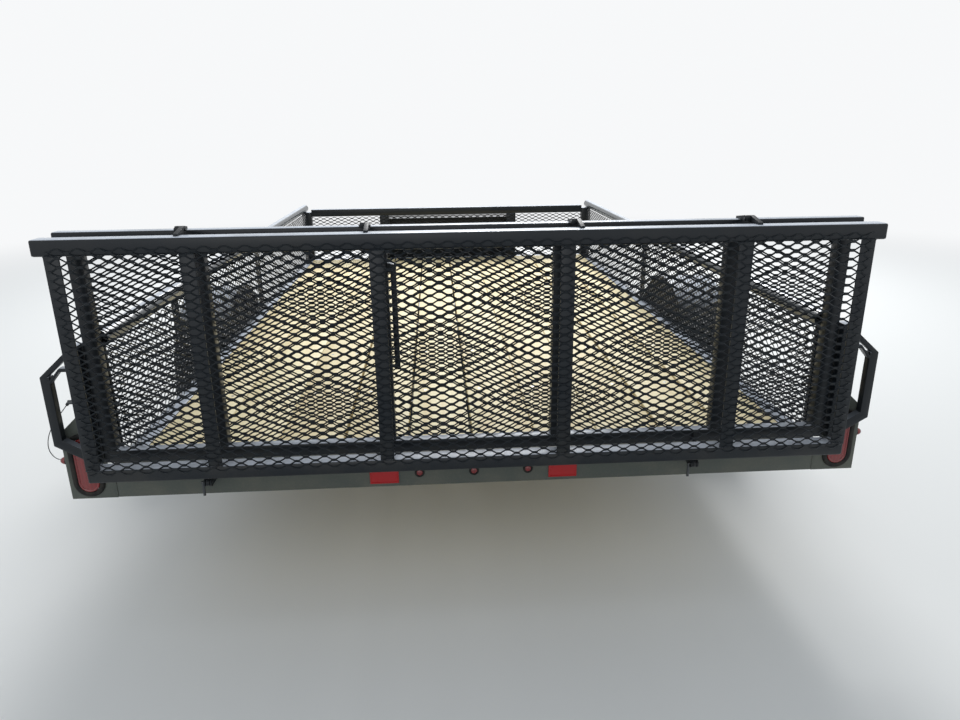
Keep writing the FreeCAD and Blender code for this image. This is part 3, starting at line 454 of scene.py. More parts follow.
# %% Pine planks
BOARD_COUNT = 10
BOARD_GAP = 0.009
board_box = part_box("deck_planks")
board_pitch = (board_box[1][0] - board_box[0][0] + BOARD_GAP) / BOARD_COUNT
deck_wood, tree, shader = new_material("pine planks", PINE, 0.62)
place = tree.nodes.new("ShaderNodeTexCoord")
split = tree.nodes.new("ShaderNodeSeparateXYZ")
tree.links.new(place.outputs["Object"], split.inputs[0])
from_edge = math_node(tree, "SUBTRACT", split.outputs["X"], board_box[0][0])
board = math_node(tree, "FLOOR", math_node(tree, "DIVIDE", from_edge, board_pitch))
chance = tree.nodes.new("ShaderNodeTexWhiteNoise")
chance.noise_dimensions = "1D"
tree.links.new(board, chance.inputs["W"])
along = tree.nodes.new("ShaderNodeCombineXYZ")
tree.links.new(math_node(tree, "ADD", math_node(tree, "MULTIPLY", split.outputs["X"], 26.0),
                         math_node(tree, "MULTIPLY", board, 7.3)), along.inputs["X"])
tree.links.new(math_node(tree, "ADD", math_node(tree, "MULTIPLY", split.outputs["Y"], 0.9),
                         math_node(tree, "MULTIPLY", chance.outputs["Value"], 9.0)), along.inputs["Y"])
tree.links.new(math_node(tree, "MULTIPLY", split.outputs["Z"], 8.0), along.inputs["Z"])
bands = ramp_node(tree, noise_node(tree, 1.0, 6, along.outputs[0], 0.62), 0.38, 0.68)
fibre_place = tree.nodes.new("ShaderNodeVectorMath")
fibre_place.operation = "MULTIPLY"
fibre_place.inputs[1].default_value = (9.0, 2.2, 1.0)
tree.links.new(along.outputs[0], fibre_place.inputs[0])
fibre = noise_node(tree, 1.0, 4, fibre_place.outputs[0], 0.6)
knots = tree.nodes.new("ShaderNodeTexVoronoi")
knots.inputs["Scale"].default_value = 1.0
knot_place = tree.nodes.new("ShaderNodeVectorMath")
knot_place.operation = "MULTIPLY"
knot_place.inputs[1].default_value = (0.30, 2.6, 0.0)
tree.links.new(along.outputs[0], knot_place.inputs[0])
tree.links.new(knot_place.outputs[0], knots.inputs["Vector"])
knot = math_node(tree, "SUBTRACT", 1.0, ramp_node(tree, knots.outputs["Distance"], 0.03, 0.09))
wood = mix_color(tree, math_node(tree, "MULTIPLY", bands, 0.62), PINE, PINE_LATE)
between_fibres = math_node(tree, "SUBTRACT", 1.0, fibre)
wood = mix_color(tree, math_node(tree, "MULTIPLY", between_fibres, 0.22), wood, PINE_LATE)
wood = mix_color(tree, math_node(tree, "MULTIPLY", knot, 0.75), wood, KNOT)
shade = math_node(tree, "MULTIPLY", chance.outputs["Value"], 0.22)
wood = mix_color(tree, shade, wood, tint(206, 184, 140))
tree.links.new(wood, shader.inputs["Base Color"])
add_bump(tree, shader, math_node(tree, "ADD", fibre, math_node(tree, "MULTIPLY", bands, 0.6)), 0.35, 0.0012)
print("board pitch", round(board_pitch, 4))

# %% [markdown]
# Rubber and lenses: tyre rubber is matt with a fine grain and dust in its grooves. A moulded lens is
# clear red plastic over a bright reflector, so it is glossy outside with colour coming from a depth.
# Here the depth is faked by ribs in the bump, a clear coat over a saturated colour and a faint painted glow.


# %% Rubber, lenses and reflectors
def rubber_material(name, color, dust, roughness):
    """Matt rubber with fine grain and dust."""
    material, tree, shader = new_material(name, color, roughness, Specular_IOR_Level=0.25)
    grime = use_group(tree, road_dust, Clean_Height=1.4, Scale=70.0, Amount=dust)
    tree.links.new(mix_color(tree, grime.outputs["Mask"], color, DUST), shader.inputs["Base Color"])
    texture = use_group(tree, spray_texture, Fine_Scale=1600.0, Wide_Scale=260.0)
    add_bump(tree, shader, texture.outputs["Height"], 0.25, 0.001)
    return material


def lens_material(name, color, rib, painted_glow):
    """Moulded lens with upright ribs behind a smooth face."""
    # The emission is a faint painted glow in the lens's own red.
    material, tree, shader = new_material(name, color, 0.22, Coat_Weight=0.4, Coat_Roughness=0.06,
                                          Emission_Color=color, Emission_Strength=painted_glow)
    place = tree.nodes.new("ShaderNodeTexCoord")
    ribs = tree.nodes.new("ShaderNodeTexWave")
    ribs.inputs["Scale"].default_value = rib
    ribs.bands_direction = "X"
    tree.links.new(place.outputs["Object"], ribs.inputs["Vector"])
    dark = tuple(value * 0.8 for value in color[:3]) + (1.0,)
    tree.links.new(mix_color(tree, ribs.outputs["Fac"], dark, color), shader.inputs["Base Color"])
    add_bump(tree, shader, ribs.outputs["Fac"], 0.2, 0.001)
    return material


tyre_rubber = rubber_material("tyre rubber", TYRE, 0.16, 0.8)
grommet_rubber = rubber_material("lamp rubber", RUBBER, 0.1, 0.6)
lamp_lens = lens_material("red lamp lens", LENS_RED, 28.0, 0.05)
# The reflector's emission is a faint painted glow in its own red, standing for the light a reflector sends
# back.
reflector_red, tree, shader = new_material("prismatic red reflector", REFLECTOR_RED, 0.18, Coat_Weight=0.3,
                                           Coat_Roughness=0.05, Emission_Color=REFLECTOR_RED,
                                           Emission_Strength=0.08, Specular_IOR_Level=0.3)
place = tree.nodes.new("ShaderNodeTexCoord")
cells = tree.nodes.new("ShaderNodeTexVoronoi")
cells.inputs["Scale"].default_value = 320.0
cells.inputs["Randomness"].default_value = 0.0
tree.links.new(place.outputs["Object"], cells.inputs["Vector"])
tree.links.new(mix_color(tree, cells.outputs["Distance"], REFLECTOR_RED, tint(120, 6, 10)),
               shader.inputs["Base Color"])
add_bump(tree, shader, cells.outputs["Distance"], 0.6, 0.001)
print("lens and rubber ready")

# %% Which material each slot uses
MATERIAL_OF_SLOT = {
    "frame_paint": frame_paint,
    "mesh_paint": mesh_paint,
    "rail_paint": rail_paint,
    "toolbox_paint": toolbox_paint,
    "hub_metal": hub_metal,
    "bare_steel": bare_steel,
    "jack_zinc": jack_zinc,
    "rim_paint": rim_paint,
    "deck_wood": deck_wood,
    "tyre": tyre_rubber,
    "rubber": grommet_rubber,
    "lamp_red": lamp_lens,
    "reflector_red": reflector_red,
}
MATERIAL_OF_NODE = {"lamp_plates": plate_paint, "rear_crossmember": plate_paint}
for node in ("hinge_pins", "fold_pins", "latch_pin", "lid_pin"):
    MATERIAL_OF_NODE[node] = pin_steel_shaded
for node in ("hinge_ears", "gate_lower_knuckles", "fold_lower_knuckles", "fold_upper_knuckles"):
    MATERIAL_OF_NODE[node] = hinge_paint


def material_for(node):
    """Material of a CAD node: its own if it has one, else its slot's."""
    return MATERIAL_OF_NODE.get(node, MATERIAL_OF_SLOT[slot_of_node[node]])


for node, thing in nodes.items():
    thing.data.materials.clear()
    thing.data.materials.append(material_for(node))
print("slots", sorted(set(slot_of_node.values())))

# %% [markdown]
# ## Making pieces
#
# Every new piece is a mesh that rides on a body of the frame, so it moves with it, and takes the material it
# is given, mostly that of one of the record's slots. Two helpers do this for all of them.


# %% Helpers that make a piece
def make_piece(name, points, faces, body, material, replaced=(), smooth=False):
    """Mesh object from points in metres, riding on a body."""
    mesh = bpy.data.meshes.new(name)
    mesh.from_pydata([tuple(point) for point in points], [], [tuple(face) for face in faces])
    mesh.validate()
    mesh.update()
    if smooth:
        mesh.shade_smooth()
    return place_piece(name, mesh, body, material, replaced)


def place_piece(name, mesh, body, material, replaced=()):
    """Object for a finished mesh, with its body, slot and the nodes it stands for."""
    thing = bpy.data.objects.new(name, mesh)
    bpy.context.scene.collection.objects.link(thing)
    mesh.materials.clear()
    mesh.materials.append(material)
    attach(thing, body)
    if replaced:
        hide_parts(*replaced)
    return thing


class Shape:
    """Gathers points and faces of many small forms into one mesh."""

    def __init__(self):
        self.points = []
        self.faces = []

    def add(self, points, faces):
        start = len(self.points)
        self.points += [tuple(point) for point in points]
        self.faces += [[start + corner for corner in face] for face in faces]

    def sweep(self, rings, closed=False, caps=True):
        """Skin over rings of equal count. closed joins the last ring to the first."""
        count = len(rings[0])
        faces = []
        spans = len(rings) if closed else len(rings) - 1
        for ring in range(spans):
            base = ring * count
            following = (ring + 1) % len(rings) * count
            for corner in range(count):
                ahead = (corner + 1) % count
                faces.append([base + corner, base + ahead, following + ahead, following + corner])
        if caps and not closed:
            faces.append(list(range(count))[::-1])
            faces.append([(len(rings) - 1) * count + corner for corner in range(count)])
        self.add([point for ring in rings for point in ring], faces)


def to_world(axis, centre, along, outward, angle):
    """Point at a distance along an axis and outward from it, turned by an angle round it."""
    centre = Vector(centre)
    axis = Vector(axis).normalized()
    side = axis.orthogonal().normalized()
    other = axis.cross(side)
    return centre + axis * along + (side * math.cos(angle) + other * math.sin(angle)) * outward


print("helpers for pieces ready")

# %% [markdown]
# ## Rounded steel
#
# Square tube and channel have small round corners, and those corners catch the light. A CAD solid has
# sharp ones. The helper copies a node's mesh, merges its flat faces and bevels only the sharp edges, so
# the form stays the same and each edge gets its highlight.


# %% Bevelled copies of the steel nodes
def merge_flat_faces(work):
    """Join a CAD mesh's doubled corners, and the triangles that lie in one plane."""
    bmesh.ops.remove_doubles(work, verts=work.verts, dist=0.00002)
    bmesh.ops.dissolve_limit(work, angle_limit=math.radians(1.0), verts=work.verts, edges=work.edges)


def rounded_copy(node, radius, segments=2, shorten=0.0, widen=None):
    """Copy of a CAD node whose sharp edges are bevelled, standing for that node.

    shorten draws its upper end down by so many metres. widen is a function that moves each point's X.
    """
    work = bmesh.new()
    work.from_mesh(nodes[node].data)
    middle_z = (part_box(node)[0][2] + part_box(node)[1][2]) / 2
    for vertex in work.verts:
        if vertex.co.z > middle_z:
            vertex.co.z -= shorten
        if widen:
            vertex.co.x = widen(vertex.co.x)
    merge_flat_faces(work)
    sharp = [edge for edge in work.edges if edge.is_manifold and edge.calc_face_angle(0) > math.radians(40)]
    bmesh.ops.bevel(work, geom=sharp, offset=radius, segments=segments, affect="EDGES", profile=0.5,
                    clamp_overlap=True)
    mesh = bpy.data.meshes.new(node + "_rounded")
    work.to_mesh(mesh)
    work.free()
    mesh.shade_smooth()
    mesh.set_sharp_from_angle(angle=math.radians(32))
    return place_piece(node + "_rounded", mesh, body_of_node[node], material_for(node),
                       (node,))


# node, corner radius in metres
ROUNDED = [
    ("rear_crossmember", 0.004), ("front_crossmember", 0.004), ("side_rail_right", 0.004),
    ("side_rail_left", 0.004), ("floor_crossmembers", 0.0025), ("side_posts", 0.002),
    ("front_top_rail", 0.005), ("front_uprights", 0.004), ("gate_upper_rails", 0.005),
    ("gate_lower_rails", 0.005), ("gate_upper_uprights", 0.0015), ("gate_lower_uprights", 0.003),
    ("tongue_rails", 0.004), ("corner_guards", 0.003), ("support_leg", 0.002), ("lamp_plates", 0.001),
    ("spring_hangers", 0.0015), ("fender_right", 0.0008), ("fender_left", 0.0008), ("hinge_ears", 0.001),
    ("gate_lower_knuckles", 0.001), ("fold_lower_knuckles", 0.001), ("fold_upper_knuckles", 0.001),
    ("toolbox", 0.0008), ("toolbox_lid", 0.0008), ("coupler", 0.002), ("leaf_springs", 0.0015),
    ("rim_right", 0.002), ("rim_left", 0.002), ("hub_right", 0.002), ("hub_left", 0.002),
]
for node, radius in ROUNDED:
    rounded_copy(node, radius)
print("rounded", len(ROUNDED), "nodes")

# %% [markdown]
# The boards of the deck lie almost edge to edge. Only the gap along the middle is wide enough to show as a
# dark line in the photograph, so the other edges are moved together until three millimetres are left.

# %% Deck boards
CLOSE_UP = 0.003


def close_up(x):
    """Move a board's edge towards the next board, but not at the deck's middle or at its sides."""
    number = min(max(math.floor((x - board_box[0][0]) / board_pitch), 0), BOARD_COUNT - 1)
    centre = board_box[0][0] + number * board_pitch + (board_pitch - BOARD_GAP) / 2
    outermost = min(abs(x - board_box[0][0]), abs(x - board_box[1][0])) < 0.001
    if outermost or abs(x) < 2 * BOARD_GAP:
        return x
    return x + math.copysign(CLOSE_UP, x - centre)


rounded_copy("deck_planks", 0.002, widen=close_up)
print("gaps left between boards, mm", round((BOARD_GAP - 2 * CLOSE_UP) * 1000, 1))

# %% [markdown]
# The jack stands behind the front wall, and from the camera nothing of it shows above the front rail. Its
# head is therefore drawn a little lower than the solid's, and the grip of its crank hangs down, as it does
# when the crank is folded for the road. The crank is one bent rod, swept with a round section.

# %% Jack with its crank folded down
JACK_LOWER = 0.075
CRANK_R = 0.009
CRANK_RISE = 0.026                # top of the tube to the top of the crank's arm
CRANK_DROP = 0.064                # arm to the grip's lower end
CRANK_BEND = 0.022
CRANK_SIDES = 16
rounded_copy("jack_tube", 0.001, shorten=JACK_LOWER)
crank_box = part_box("jack_crank")
tube_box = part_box("jack_tube")
head_x = (tube_box[0][0] + tube_box[1][0]) / 2
head_y = (tube_box[0][1] + tube_box[1][1]) / 2
head_z = tube_box[1][2] - JACK_LOWER
grip_x = crank_box[1][0] - CRANK_R
arm_z = head_z + CRANK_RISE - CRANK_R
crank_line = [(head_x, head_z - 0.004), (head_x, arm_z - CRANK_BEND / 2),
              (head_x + CRANK_BEND * 0.15, arm_z - CRANK_BEND * 0.15), (head_x + CRANK_BEND, arm_z),
              (grip_x - CRANK_BEND, arm_z), (grip_x - CRANK_BEND * 0.3, arm_z - CRANK_BEND * 0.3),
              (grip_x, arm_z - CRANK_BEND), (grip_x, arm_z - CRANK_DROP)]
crank = Shape()
rings = []
crosswise = Vector((0, 1, 0))
for number, (x, z) in enumerate(crank_line):
    before = crank_line[max(number - 1, 0)]
    after = crank_line[min(number + 1, len(crank_line) - 1)]
    run = Vector((after[0] - before[0], 0, after[1] - before[1])).normalized()
    across = crosswise.cross(run)
    radius = CRANK_R * (0.9 if 0 < number < len(crank_line) - 1 else 0.75)
    ring = []
    for step in range(CRANK_SIDES):
        turn = 2 * math.pi * step / CRANK_SIDES
        ring.append(Vector((x, head_y, z)) + radius * (across * math.cos(turn) + crosswise * math.sin(turn)))
    rings.append(ring)
crank.sweep(rings)
crank_piece = make_piece("jack_crank_folded", crank.points, crank.faces, body_of_node["jack_crank"],
                         bare_steel, ("jack_crank",), smooth=True)
crank_piece.data.set_sharp_from_angle(angle=math.radians(40))
print("jack head at", round(head_z, 3), "crank top at", round(arm_z + CRANK_R, 3))

# %% [markdown]
# ## Expanded metal
#
# The sheet is slit in staggered rows and pulled open, so each slit becomes a diamond. Every strand runs
# from one bond to the next, up and down in turn, and the pull tips it out of the sheet's plane. Seen as
# a whole, the sheet is a stack of wavy ribbons that touch at the bonds. So each row is one swept ribbon:
# flat at a bond, sloping between two, with the strand's own tilt in its section. The outermost ribbons
# leave the wavy edge that laps over the bars.

# %% Sizes of the expanded metal
LONG_WAY = 0.0508
SHORT_WAY = 0.02344
STRAND = 0.0042
STRAND_T = 0.0026
BOND = 0.011
TILT = math.radians(30)
MESH_DEPTH = 2 * STRAND * math.sin(TILT) + STRAND_T * math.cos(TILT)
print("depth of the sheet, mm", round(MESH_DEPTH * 1000, 2))


# %% Ribbons of expanded metal
def expanded_metal(node, along, outward, face, lean):
    """Ribbons that fill a mesh node. along and outward are axis numbers, face is the sheet's outer side.

    lean is 1 where the strands' upper edges tip towards the low side of the outward axis, else -1.
    """
    low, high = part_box(node)
    start = low[along]
    end = high[along]
    half = LONG_WAY / 2
    columns = int((end - start) / half)
    first = (start + end - columns * half) / 2
    rows = int((high[2] - low[2]) / (SHORT_WAY / 2))
    bottom = (low[2] + high[2] - rows * SHORT_WAY / 2) / 2
    inward = 1 if face == low[outward] else -1
    middle = face + inward * MESH_DEPTH / 2
    lift = STRAND / 2 * math.cos(TILT)
    out = STRAND / 2 * math.sin(TILT)
    corners = []
    for across, through in ((-1, -1), (1, -1), (1, 1), (-1, 1)):
        corners.append((across * lift - through * STRAND_T / 2 * math.sin(TILT),
                        across * out + through * STRAND_T / 2 * math.cos(TILT)))
    shape = Shape()
    for row in range(rows):
        rings = []
        for column in range(columns + 1):
            low_bond = (column + row) % 2 == 0
            z = bottom + (row * SHORT_WAY / 2 + lift if low_bond else (row + 1) * SHORT_WAY / 2 - lift)
            w = out if low_bond else -out
            for step in (-BOND / 2, BOND / 2):
                u = min(max(first + column * half + step, start), end)
                ring = []
                for rise, depth in corners:
                    point = [0.0, 0.0, z + rise]
                    point[along] = u
                    point[outward] = middle - lean * (w + depth)
                    ring.append(point)
                rings.append(ring)
        shape.sweep(rings)
    return make_piece(node + "_strands", shape.points, shape.faces, body_of_node[node],
                      material_for(node), (node,))


# node, axis along the sheet, axis through it, 0 or 1 for its outer side, lean
SHEETS = [
    ("gate_upper_mesh", 0, 1, 0, 1), ("gate_lower_mesh", 0, 1, 1, 1), ("side_mesh_right", 1, 0, 0, 1),
    ("side_mesh_left", 1, 0, 1, -1), ("front_mesh", 0, 1, 0, 1),
]
for node, along, outward, side, lean in SHEETS:
    sheet = expanded_metal(node, along, outward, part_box(node)[side][outward], lean)
    print(node, "faces", len(sheet.data.polygons))

# %% [markdown]
# ## Tyres
#
# A trailer tyre has straight ribs with narrow grooves, small cuts across the shoulders, and rings moulded
# on its sides. The section is a short table of points, spun round the axle. The cuts are made by pulling
# single rings of the shoulder inwards.

# %% Tyre section and tread
TYRE_STEPS = 160
CUT_DEPTH = 0.005
# share of the half width, radius, 1 where a cut crosses
TYRE_SECTION = [
    (0.66, 0.191, 0), (0.80, 0.196, 0), (0.87, 0.205, 0), (0.90, 0.216, 0), (0.955, 0.232, 0),
    (0.985, 0.250, 0), (0.998, 0.268, 0), (0.985, 0.270, 0), (0.985, 0.276, 0), (0.995, 0.278, 0),
    (0.975, 0.300, 0),
    (0.93, 0.318, 1), (0.86, 0.333, 1), (0.78, 0.3385, 1), (0.60, 0.3415, 1), (0.565, 0.3418, 0),
    (0.555, 0.334, 0), (0.515, 0.334, 0), (0.505, 0.3425, 0), (0.22, 0.3438, 0), (0.21, 0.3355, 0),
    (0.17, 0.3355, 0), (0.16, 0.344, 0),
]


def tyre(name, node, body):
    """Ribbed tyre spun round the axle, in place of the plain CAD ring."""
    low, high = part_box(node)
    middle = (Vector(low) + Vector(high)) / 2
    half = (high[0] - low[0]) / 2
    section = TYRE_SECTION + [(-share, radius, cut) for share, radius, cut in reversed(TYRE_SECTION)]
    rings = []
    for step in range(TYRE_STEPS):
        angle = 2 * math.pi * step / TYRE_STEPS
        notch = step % 4 == 0
        ring = []
        for share, radius, cut in section:
            reach = radius - (CUT_DEPTH if cut and notch else 0)
            ring.append((middle.x + share * half, middle.y + reach * math.cos(angle),
                         middle.z + reach * math.sin(angle)))
        rings.append(ring)
    shape = Shape()
    shape.sweep(rings, closed=True)
    piece = make_piece(name, shape.points, shape.faces, body, tyre_rubber, (node,), smooth=True)
    piece.data.set_sharp_from_angle(angle=math.radians(28))
    return piece


for side in ("right", "left"):
    piece = tyre("ribbed_tyre_" + side, "tyre_" + side, "wheel_" + side)
    print(piece.name, "faces", len(piece.data.polygons))

# %% [markdown]
# ## Wheel nuts, screws and bolt heads
#
# Fasteners are small, but rows of them tell the eye how large the object is. One function makes a head
# with chamfered edges at a point on a surface, with six sides for a nut and twelve for a round screw.


# %% Heads of nuts and screws
def add_head(shape, centre, axis, radius, height, sides, dome=0.8):
    """Head with a base, a wall and a narrower top."""
    rings = []
    for along, share in ((-0.001, 1.0), (height * 0.7, 1.0), (height, dome)):
        rings.append([to_world(axis, centre, along, radius * share, 2 * math.pi * corner / sides)
                      for corner in range(sides)])
    shape.sweep(rings)


WHEEL_NUTS = 5
NUT_CIRCLE = 0.0571
NUT_R = 0.0115
NUT_HIGH = 0.018
NUT_SEAT = 0.038                  # outer end of the hub back to the wheel's disc
FIRST_NUT = 0.3                   # radians
for side, sign in (("right", 1), ("left", -1)):
    hub_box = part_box("hub_" + side)
    wheel_middle = (Vector(hub_box[0]) + Vector(hub_box[1])) / 2
    face_x = hub_box[1][0] - NUT_SEAT if sign > 0 else hub_box[0][0] + NUT_SEAT
    nuts = Shape()
    for number in range(WHEEL_NUTS):
        angle = 2 * math.pi * number / WHEEL_NUTS + FIRST_NUT
        centre = (face_x, wheel_middle.y + NUT_CIRCLE * math.cos(angle),
                  wheel_middle.z + NUT_CIRCLE * math.sin(angle))
        add_head(nuts, centre, (sign, 0, 0), NUT_R, NUT_HIGH, 6)
    make_piece("wheel_nuts_" + side, nuts.points, nuts.faces, "wheel_" + side, bare_steel)
print("wheel nuts", WHEEL_NUTS, "a side")

# %% Deck screws
SCREW_R = 0.0055
SCREW_IN = 0.045                  # from a board's edge
SCREW_FROM_END = 0.03             # from a board's end
JOIST_COUNT = 6
JOIST_HALF = 0.019                # half the width of a floor crossmember
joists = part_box("floor_crossmembers")
screws = Shape()
joist_middles = np.linspace(joists[0][1] + JOIST_HALF, joists[1][1] - JOIST_HALF, JOIST_COUNT)
screw_rows = [board_box[0][1] + SCREW_FROM_END, *joist_middles, board_box[1][1] - SCREW_FROM_END]
for y in screw_rows:
    for number in range(BOARD_COUNT):
        left_edge = board_box[0][0] + number * board_pitch
        for x in (left_edge + SCREW_IN, left_edge + board_pitch - BOARD_GAP - SCREW_IN):
            add_head(screws, (x, y, board_box[1][2]), (0, 0, 1), SCREW_R, 0.0004, 12)
make_piece("deck_screws", screws.points, screws.faces, "root", bare_steel)
print("deck screws", len(screw_rows) * BOARD_COUNT * 2)

# %% [markdown]
# The toolbox is bent from tread plate, so small raised bars stand on its sides and lid, and its lid is held
# by a paddle latch: a shallow dish with a rounded handle in it. The bars come from the bump of its paint.
# The latch is a stack of rounded outlines, each a little smaller and deeper than the one before.


# %% Paddle latch of the toolbox
def rounded_outline(x, y, z, wide, tall, corner, steps=5):
    """Upright outline with round corners in the XZ plane, seen from the front of the trailer."""
    ring = []
    for quarter, (side_x, side_z) in enumerate(((1, 1), (-1, 1), (-1, -1), (1, -1))):
        for step in range(steps + 1):
            angle = math.pi / 2 * (quarter + step / steps)
            ring.append((x + side_x * (wide / 2 - corner) + corner * math.cos(angle), y,
                         z + side_z * (tall / 2 - corner) + corner * math.sin(angle)))
    return ring


LATCH_DROP = 0.075                # lower edge of the lid to the middle of the latch
PADDLE_DROP = 0.004
# width, height and corner radius, then how far out and how much drawn in at each level
DISH = (0.112, 0.086, 0.012)
DISH_LEVELS = [(-0.0005, 0.0), (0.0030, 0.0), (0.0042, 0.0012), (0.0042, 0.0090), (0.0012, 0.0115),
               (0.0012, 0.0130)]
PADDLE = (0.074, 0.046, 0.008)
PADDLE_LEVELS = [(0.0008, 0.0), (0.0045, 0.0008), (0.0068, 0.0040), (0.0074, 0.0080)]
latch_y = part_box("toolbox")[1][1]
latch_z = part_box("toolbox_lid")[0][2] - LATCH_DROP
latch = Shape()
for (wide, tall, corner), z, levels in ((DISH, latch_z, DISH_LEVELS),
                                        (PADDLE, latch_z - PADDLE_DROP, PADDLE_LEVELS)):
    latch.sweep([rounded_outline(0, latch_y + out, z, wide - 2 * inset, tall - 2 * inset, corner - inset / 2)
                 for out, inset in levels])
latch_piece = make_piece("toolbox_latch", latch.points, latch.faces, "root", bare_steel,
                         smooth=True)
latch_piece.data.set_sharp_from_angle(angle=math.radians(40))
print("latch at height", round(latch_z, 3))

# %% [markdown]
# The lid turns on a long hinge. Its upper leaf lies on the lid along the rear edge, and shows from behind
# as a thin bright line through the front wall's mesh. It is one strip with its ends drawn in, and a row of
# rivets.

# %% Hinge leaf on the toolbox lid
LEAF_WIDE = 0.018
LEAF_T = 0.0016
LEAF_OFF_PIN = 0.0015
LEAF_IN = 0.004                   # end of the lid to the end of the leaf
LEAF_SUNK = 0.0004
LEAF_CORNER = 0.001
EDGE_IN = 0.0006                  # bevel of the leaf's upper edges, inwards and down
EDGE_DOWN = 0.0005
RIVET_COUNT = 9
RIVET_IN = 0.05
lid_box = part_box("toolbox_lid")
leaf_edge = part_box("lid_pin")[1][1] + LEAF_OFF_PIN
leaf_start = lid_box[0][0] + LEAF_IN
leaf_stop = lid_box[1][0] - LEAF_IN
leaf_top = lid_box[1][2] + LEAF_T
leaf = Shape()
rings = []
for x, inset in ((leaf_start, LEAF_CORNER), (leaf_start + LEAF_CORNER, 0.0), (leaf_stop - LEAF_CORNER, 0.0),
                 (leaf_stop, LEAF_CORNER)):
    near = leaf_edge + inset
    far = near + LEAF_WIDE - 2 * inset
    top = leaf_top - inset / 2
    base = lid_box[1][2] - LEAF_SUNK
    rings.append([(x, near, base), (x, near, top - EDGE_DOWN), (x, near + EDGE_IN, top),
                  (x, far - EDGE_IN, top), (x, far, top - EDGE_DOWN), (x, far, base)])
leaf.sweep(rings)
for rivet_x in np.linspace(lid_box[0][0] + RIVET_IN, lid_box[1][0] - RIVET_IN, RIVET_COUNT):
    add_head(leaf, (rivet_x, leaf_edge + LEAF_WIDE / 2, leaf_top), (0, 0, 1), 0.003, 0.0012, 10, 0.6)
make_piece("toolbox_hinge_leaf", leaf.points, leaf.faces, "toolbox_lid", bare_steel)
print("hinge leaf faces", len(leaf.faces))

# %% [markdown]
# ## Lamps
#
# An oval tail lamp is a red lens with a raised rim, held in a thick rubber ring that snaps into its
# plate. Both are stacks of the same outline, drawn smaller or larger at each level, so one function gives
# the outline and the table of levels gives the form.


# %% Outlines of an oval lamp
def oval(x, y, z, long, wide, corners=14):
    """Upright outline with round ends in the XZ plane."""
    radius = wide / 2
    rise = long / 2 - radius
    ring = []
    for end, start in ((rise, 0.0), (-rise, math.pi)):
        for corner in range(corners + 1):
            angle = start + math.pi * corner / corners
            ring.append((x + radius * math.cos(angle), y, z + end + radius * math.sin(angle)))
    return ring


def oval_stack(shape, x, z, long, wide, levels):
    """Skin over outlines. levels is a table of y and how much the outline is drawn in."""
    shape.sweep([oval(x, y, z, long - 2 * inset, wide - 2 * inset) for y, inset in levels])


lamp_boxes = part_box("tail_lamps")
lamp_rear = lamp_boxes[0][1]
lamp_z = (lamp_boxes[0][2] + lamp_boxes[1][2]) / 2
lamp_long = lamp_boxes[1][2] - lamp_boxes[0][2]
lamp_wide = 0.060
lamp_x = lamp_boxes[1][0] - lamp_wide / 2
plate_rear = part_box("lamp_plates")[0][1]
print("lamp at", round(lamp_x, 3), round(lamp_z, 3))

# %% Tail lamps and their rubber rings
lenses = Shape()
rings = Shape()
RING = 0.015
for x in (lamp_x, -lamp_x):
    oval_stack(lenses, x, lamp_z, lamp_long, lamp_wide,
               [(plate_rear + 0.018, 0.0), (lamp_rear + 0.003, 0.0), (lamp_rear + 0.0006, 0.0012),
                (lamp_rear, 0.0032), (lamp_rear + 0.0003, 0.0052), (lamp_rear + 0.0024, 0.0068),
                (lamp_rear + 0.0016, 0.014), (lamp_rear + 0.0012, 0.026)])
    outer = [(plate_rear, 0.0), (plate_rear - 0.003, 0.0), (plate_rear - 0.0052, 0.0022),
             (plate_rear - 0.006, 0.0055), (plate_rear - 0.0056, 0.0105), (plate_rear - 0.004, 0.0142),
             (plate_rear, 0.0148)]
    rings.sweep([oval(x, y, lamp_z, lamp_long + 2 * (RING - inset), lamp_wide + 2 * (RING - inset))
                 for y, inset in outer], closed=True)
make_piece("tail_lamp_lenses", lenses.points, lenses.faces, "root", lamp_lens, ("tail_lamps",),
           smooth=True).data.set_sharp_from_angle(angle=math.radians(50))
make_piece("lamp_rings", rings.points, rings.faces, "root", grommet_rubber, ("lamp_grommets",),
           smooth=True)
print("lens faces", len(lenses.faces), "ring faces", len(rings.faces))

# %% [markdown]
# The five round lamps, three in the middle of the crossmember and one on each side, are small domes in
# a rubber ring of their own. A dome is a quarter circle spun round the lamp's axis.


# %% Round marker lamps
def spin(shape, centre, axis, profile, steps=28):
    """Surface of a profile, a table of distance along the axis and radius, spun round it."""
    rings = []
    for along, radius in profile:
        rings.append([to_world(axis, centre, along, radius, 2 * math.pi * step / steps)
                      for step in range(steps)])
    shape.sweep(rings)


DOME_R = 0.0095
DOME_STEPS = 6
MIDDLE_ROW = (-0.164, 0.0, 0.164)
MIDDLE_RISE = 0.015               # lowest point of a middle lamp to its centre
SIDE_R = 0.012                    # radius of a side lamp's solid, and how far it stands out
SIDE_BACK = 0.020                 # side domes behind their solids, where they show past the plates
SIDE_LONG = 4.0                   # side domes against the middle ones, along their axis
SIDE_WIDE = 1.2
SIDE_COLLAR = 0.95
marker_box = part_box("marker_lamps")
middle_z = marker_box[0][2] + MIDDLE_RISE
side_x = marker_box[1][0] - SIDE_R
side_y = marker_box[1][1] - SIDE_R - SIDE_BACK
side_z = marker_box[1][2] - SIDE_R
dome = [(-0.001, DOME_R)]
for step in range(DOME_STEPS):
    angle = math.pi / 2 * step / (DOME_STEPS - 1)
    dome.append((0.0015 + 0.0035 * math.sin(angle), max(DOME_R * math.cos(angle), 0.0003)))
collar = [(0.0, 0.0149), (0.0022, 0.0149), (0.0034, 0.0138), (0.0036, 0.0112), (0.0030, 0.0096),
          (0.0, 0.0095)]
